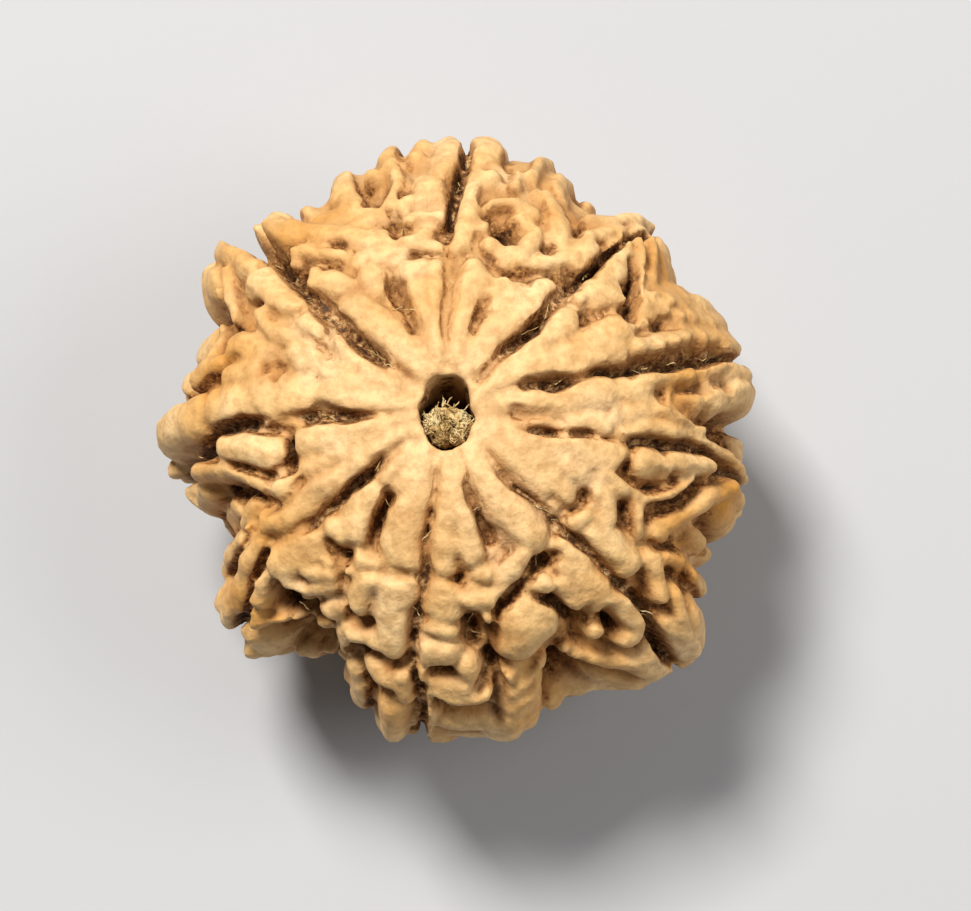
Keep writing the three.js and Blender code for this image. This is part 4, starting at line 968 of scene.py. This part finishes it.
def build_stone(material):
    """The finished stone. Returns how far its middle was moved to stand it over the origin."""
    mesh = even_mesh(stone_sheet())
    spots = read(mesh, "co")
    depth, azimuth, polar = below_crests(spots)
    # The shelter, crease and crest attributes paint shade and a highlight into the colour; ochre,
    # cleft and pole are the stone's own colour.
    add_attribute(mesh, "shelter_shade", shelter(mesh))
    add_attribute(mesh, "crease_shade", sunken(mesh, FINE_ROUNDS) * CREASE_GAIN)
    add_attribute(mesh, "crest", 0.5 - sunken(mesh, WIDE_ROUNDS) * CREST_GAIN)
    add_attribute(mesh, "ochre", ochre_stain(spots))
    add_attribute(mesh, "cleft", in_clefts(azimuth, polar, depth))
    add_attribute(mesh, "pole", np.exp(-((from_mouth(polar) / POLE_ANGLE) ** 2)))
    # Fine lumps everywhere but on the worn flats.
    lumps = ripples(spots, LUMPS)
    lumps[spots[:, 2] < FLAT_DEPTH - HALF_HEIGHT + FLAT_MARGIN] = 0
    spots = spots + read(mesh, "normal") * lumps[:, None]
    middle = (spots.max(axis=0) + spots.min(axis=0)) / 2
    shift = np.array([-middle[0], -middle[1], -spots[:, 2].min()])
    mesh.vertices.foreach_set("co", ((spots + shift) * MM).ravel())
    mesh.polygons.foreach_set("use_smooth", [True] * len(mesh.polygons))
    mesh.update()
    new_piece("seed_stone_skin", mesh, material, "seed_shell", "seed_stone")
    return shift


# Fibres.
def fibre_bunch(name, strands, thickness, base=None):
    """Thin square tubes, one along each strand of places in mm, joined to a base mesh if given."""
    curve = bpy.data.curves.new(name, "CURVE")
    curve.dimensions = "3D"
    curve.bevel_depth = thickness / 2 * MM
    curve.bevel_resolution = 0
    curve.use_fill_caps = True
    for strand in strands:
        spline = curve.splines.new("POLY")
        spline.points.add(len(strand) - 1)
        for i, place in enumerate(strand):
            spline.points[i].co = (*(place * MM), 1)
            spline.points[i].radius = FIBRE_TIP if i in (0, len(strand) - 1) else 1.0
    mesh = finished_mesh(curve)
    if base:
        bm = bmesh.new()
        bm.from_mesh(mesh)
        bm.from_mesh(base)
        bm.to_mesh(mesh)
        bm.free()
    return mesh


def curled(start, direction, length, curl, random):
    """Places along one curling fibre."""
    places = [np.array(start, float)]
    heading = np.array(direction, float)
    heading /= np.linalg.norm(heading)
    for _ in range(FIBRE_POINTS):
        heading = heading + random.normal(size=3) * curl
        heading /= np.linalg.norm(heading)
        places.append(places[-1] + heading * length / FIBRE_POINTS)
    return places


def fibre_in_cleft(route, random):
    """A fibre that lies along the cleft, a little below its lips."""
    top = route[0][1]
    polar = top + (LOWEST_FIBRE - top) * random.random() ** FIBRE_CROWDING
    azimuth = np.interp(polar, [row[1] for row in route], [row[0] for row in route])
    depth = random.uniform(0.35, 1.0)
    length = random.uniform(0.3, 0.9)
    skew = random.normal() * 0.4
    places = []
    for k in np.linspace(-0.5, 0.5, FIBRE_POINTS):
        step = k * length
        angle = polar + step / DEGREE
        out = EQUATOR_R * math.sin(math.radians(angle))
        side = skew * step + random.normal() * FIBRE_SWAY + FIBRE_ASIDE
        turn = azimuth + math.degrees(side / out)
        height = -depth + FIBRE_LIFT * random.random() * abs(k) + random.normal() * FIBRE_SWAY
        places.append(one_place(turn, angle, height))
    return places


def fibre_in_pit(azimuth, polar, radius, depth, random):
    """A curled fibre that starts in a pit and lies nearly level with the skin."""
    centre = one_place(azimuth, polar, -depth)
    start = centre + random.normal(size=3) * radius * PIT_SCATTER
    along = random.normal(size=3)
    outward = centre / np.linalg.norm(centre)
    along -= outward * (along @ outward) * PIT_LEVEL
    length = random.uniform(0.4, 1.1)
    return curled(start, along, length, PIT_CURL, random)


def loose_fibres(shift, random):
    strands = [fibre_in_cleft(route, random) for route in CLEFTS for _ in range(CLEFT_FIBRES)]
    strands += [fibre_in_pit(*pit, random) for pit in FIBRE_PITS for _ in range(PIT_FIBRES)]
    return [[place + shift for place in strand] for strand in strands]


def wad_core(shift, mouth_height):
    """A lumpy rounded core under the wad's fibres."""
    centre = np.array([*WAD_CENTRE, mouth_height + WAD_TOP - WAD_CROWN])
    bm = bmesh.new()
    bmesh.ops.create_icosphere(bm, subdivisions=5, radius=1)
    for vert in bm.verts:
        x, y, z = vert.co
        vert.co = (x, y * WAD_DEEP, z * WAD_CROWN if z > 0 else z * WAD_ROOT)
    places = np.array([v.co[:] for v in bm.verts])
    swell = ripples(places, WAD_LUMPS, 1)
    places = (places * swell[:, None] + centre + shift) * MM
    for vert, place in zip(bm.verts, places):
        vert.co = place
    return to_mesh(bm, "wad_core")


def wad_strand(mouth_height, random):
    """A short curled fibre that starts on the wad's crown and stays inside the hole."""
    turn = random.uniform(0, 2 * math.pi)
    out = WAD_R * math.sqrt(random.uniform(0, WAD_FILL))
    x = WAD_CENTRE[0] + out * math.cos(turn)
    y = WAD_CENTRE[1] + out * math.sin(turn) * WAD_SQUASH
    crown = mouth_height + WAD_TOP + WAD_PROUD
    z = crown - WAD_ROUND * (out / WAD_R) ** 2 + random.normal() * WAD_SCATTER
    along = random.normal(size=3) * WAD_LIE
    length = random.uniform(0.25, 0.6)
    strand = curled((x, y, z), along, length, WAD_CURL, random)
    for place in strand:
        place[:2] *= min(1, WAD_REACH / math.hypot(place[0], place[1]))
    return strand


def pith_wad(shift, mouth_height, random):
    """The wad: its core, and a mat of short curled fibres over its crown."""
    strands = [wad_strand(mouth_height, random) for _ in range(WAD_FIBRES)]
    moved = [[place + shift for place in strand] for strand in strands]
    return fibre_bunch("pith_wad", moved, WAD_THICKNESS, wad_core(shift, mouth_height))


# Camera, light and floor.
def place_camera(shift):
    data = bpy.data.cameras.new("camera")
    data.sensor_width = SENSOR
    data.lens = SENSOR * PIXELS_PER_MM * CAMERA_DISTANCE / IMAGE_WIDTH
    data.clip_start = 0.001
    camera = add_object("camera", data)
    tilt = math.radians(CAMERA_ELEVATION)
    forward = Vector((0, math.cos(tilt), -math.sin(tilt)))
    up = Vector((0, math.sin(tilt), math.cos(tilt)))
    mouth = Vector(shift) + Vector((0, 0, HALF_HEIGHT))
    reach = CAMERA_DISTANCE - HALF_HEIGHT * math.sin(tilt)
    per_pixel = reach / CAMERA_DISTANCE / PIXELS_PER_MM
    aim = mouth + Vector((1, 0, 0)) * (IMAGE_WIDTH / 2 - HOLE_PIXEL[0]) * per_pixel
    aim += up * (HOLE_PIXEL[1] - IMAGE_HEIGHT / 2) * per_pixel
    camera.location = (aim - forward * reach) * MM
    camera.rotation_euler = (math.radians(90 - CAMERA_ELEVATION), 0, 0)
    bpy.context.scene.camera = camera


def area_light(name, direction, distance, width, power, colour):
    """A square soft light that looks at the seed from a direction."""
    data = bpy.data.lights.new(name, "AREA")
    data.size = width
    data.energy = power
    data.color = colour
    lamp = add_object(name, data)
    lamp.location = Vector(direction).normalized() * distance
    lamp.rotation_euler = Vector(direction).to_track_quat("Z", "Y").to_euler()


def light_scene():
    for light in LIGHTS:
        area_light(*light)
    world = bpy.data.worlds.new("studio")
    world.use_nodes = True
    background = world.node_tree.nodes["Background"]
    background.inputs["Color"].default_value = linear("#dfe3e8")
    background.inputs["Strength"].default_value = 0.18
    bpy.context.scene.world = world


def lay_floor(material):
    bm = bmesh.new()
    bmesh.ops.create_grid(bm, x_segments=1, y_segments=1, size=0.6)
    mesh = to_mesh(bm, "floor")
    mesh.materials.append(material)
    floor = add_object("floor", mesh)


# Assembly.
bpy.context.scene.view_settings.view_transform = "Standard"
random = np.random.default_rng(seed=7)
shift = build_stone(seed_shell())
straw = straw_fibre()
loose = fibre_bunch("cleft_fibres", loose_fibres(shift, random), FIBRE_THICKNESS)
new_piece("cleft_fibres", loose, straw, "dried_pith")
mouth_height = HALF_HEIGHT * math.cos(math.asin(HOLE_R / EQUATOR_R)) - DISH_DEPTH
wad = pith_wad(shift, mouth_height, random)
new_piece("pith_wad", wad, straw, "dried_pith", "pith_plug")
place_camera(shift)
light_scene()
lay_floor(studio_floor())
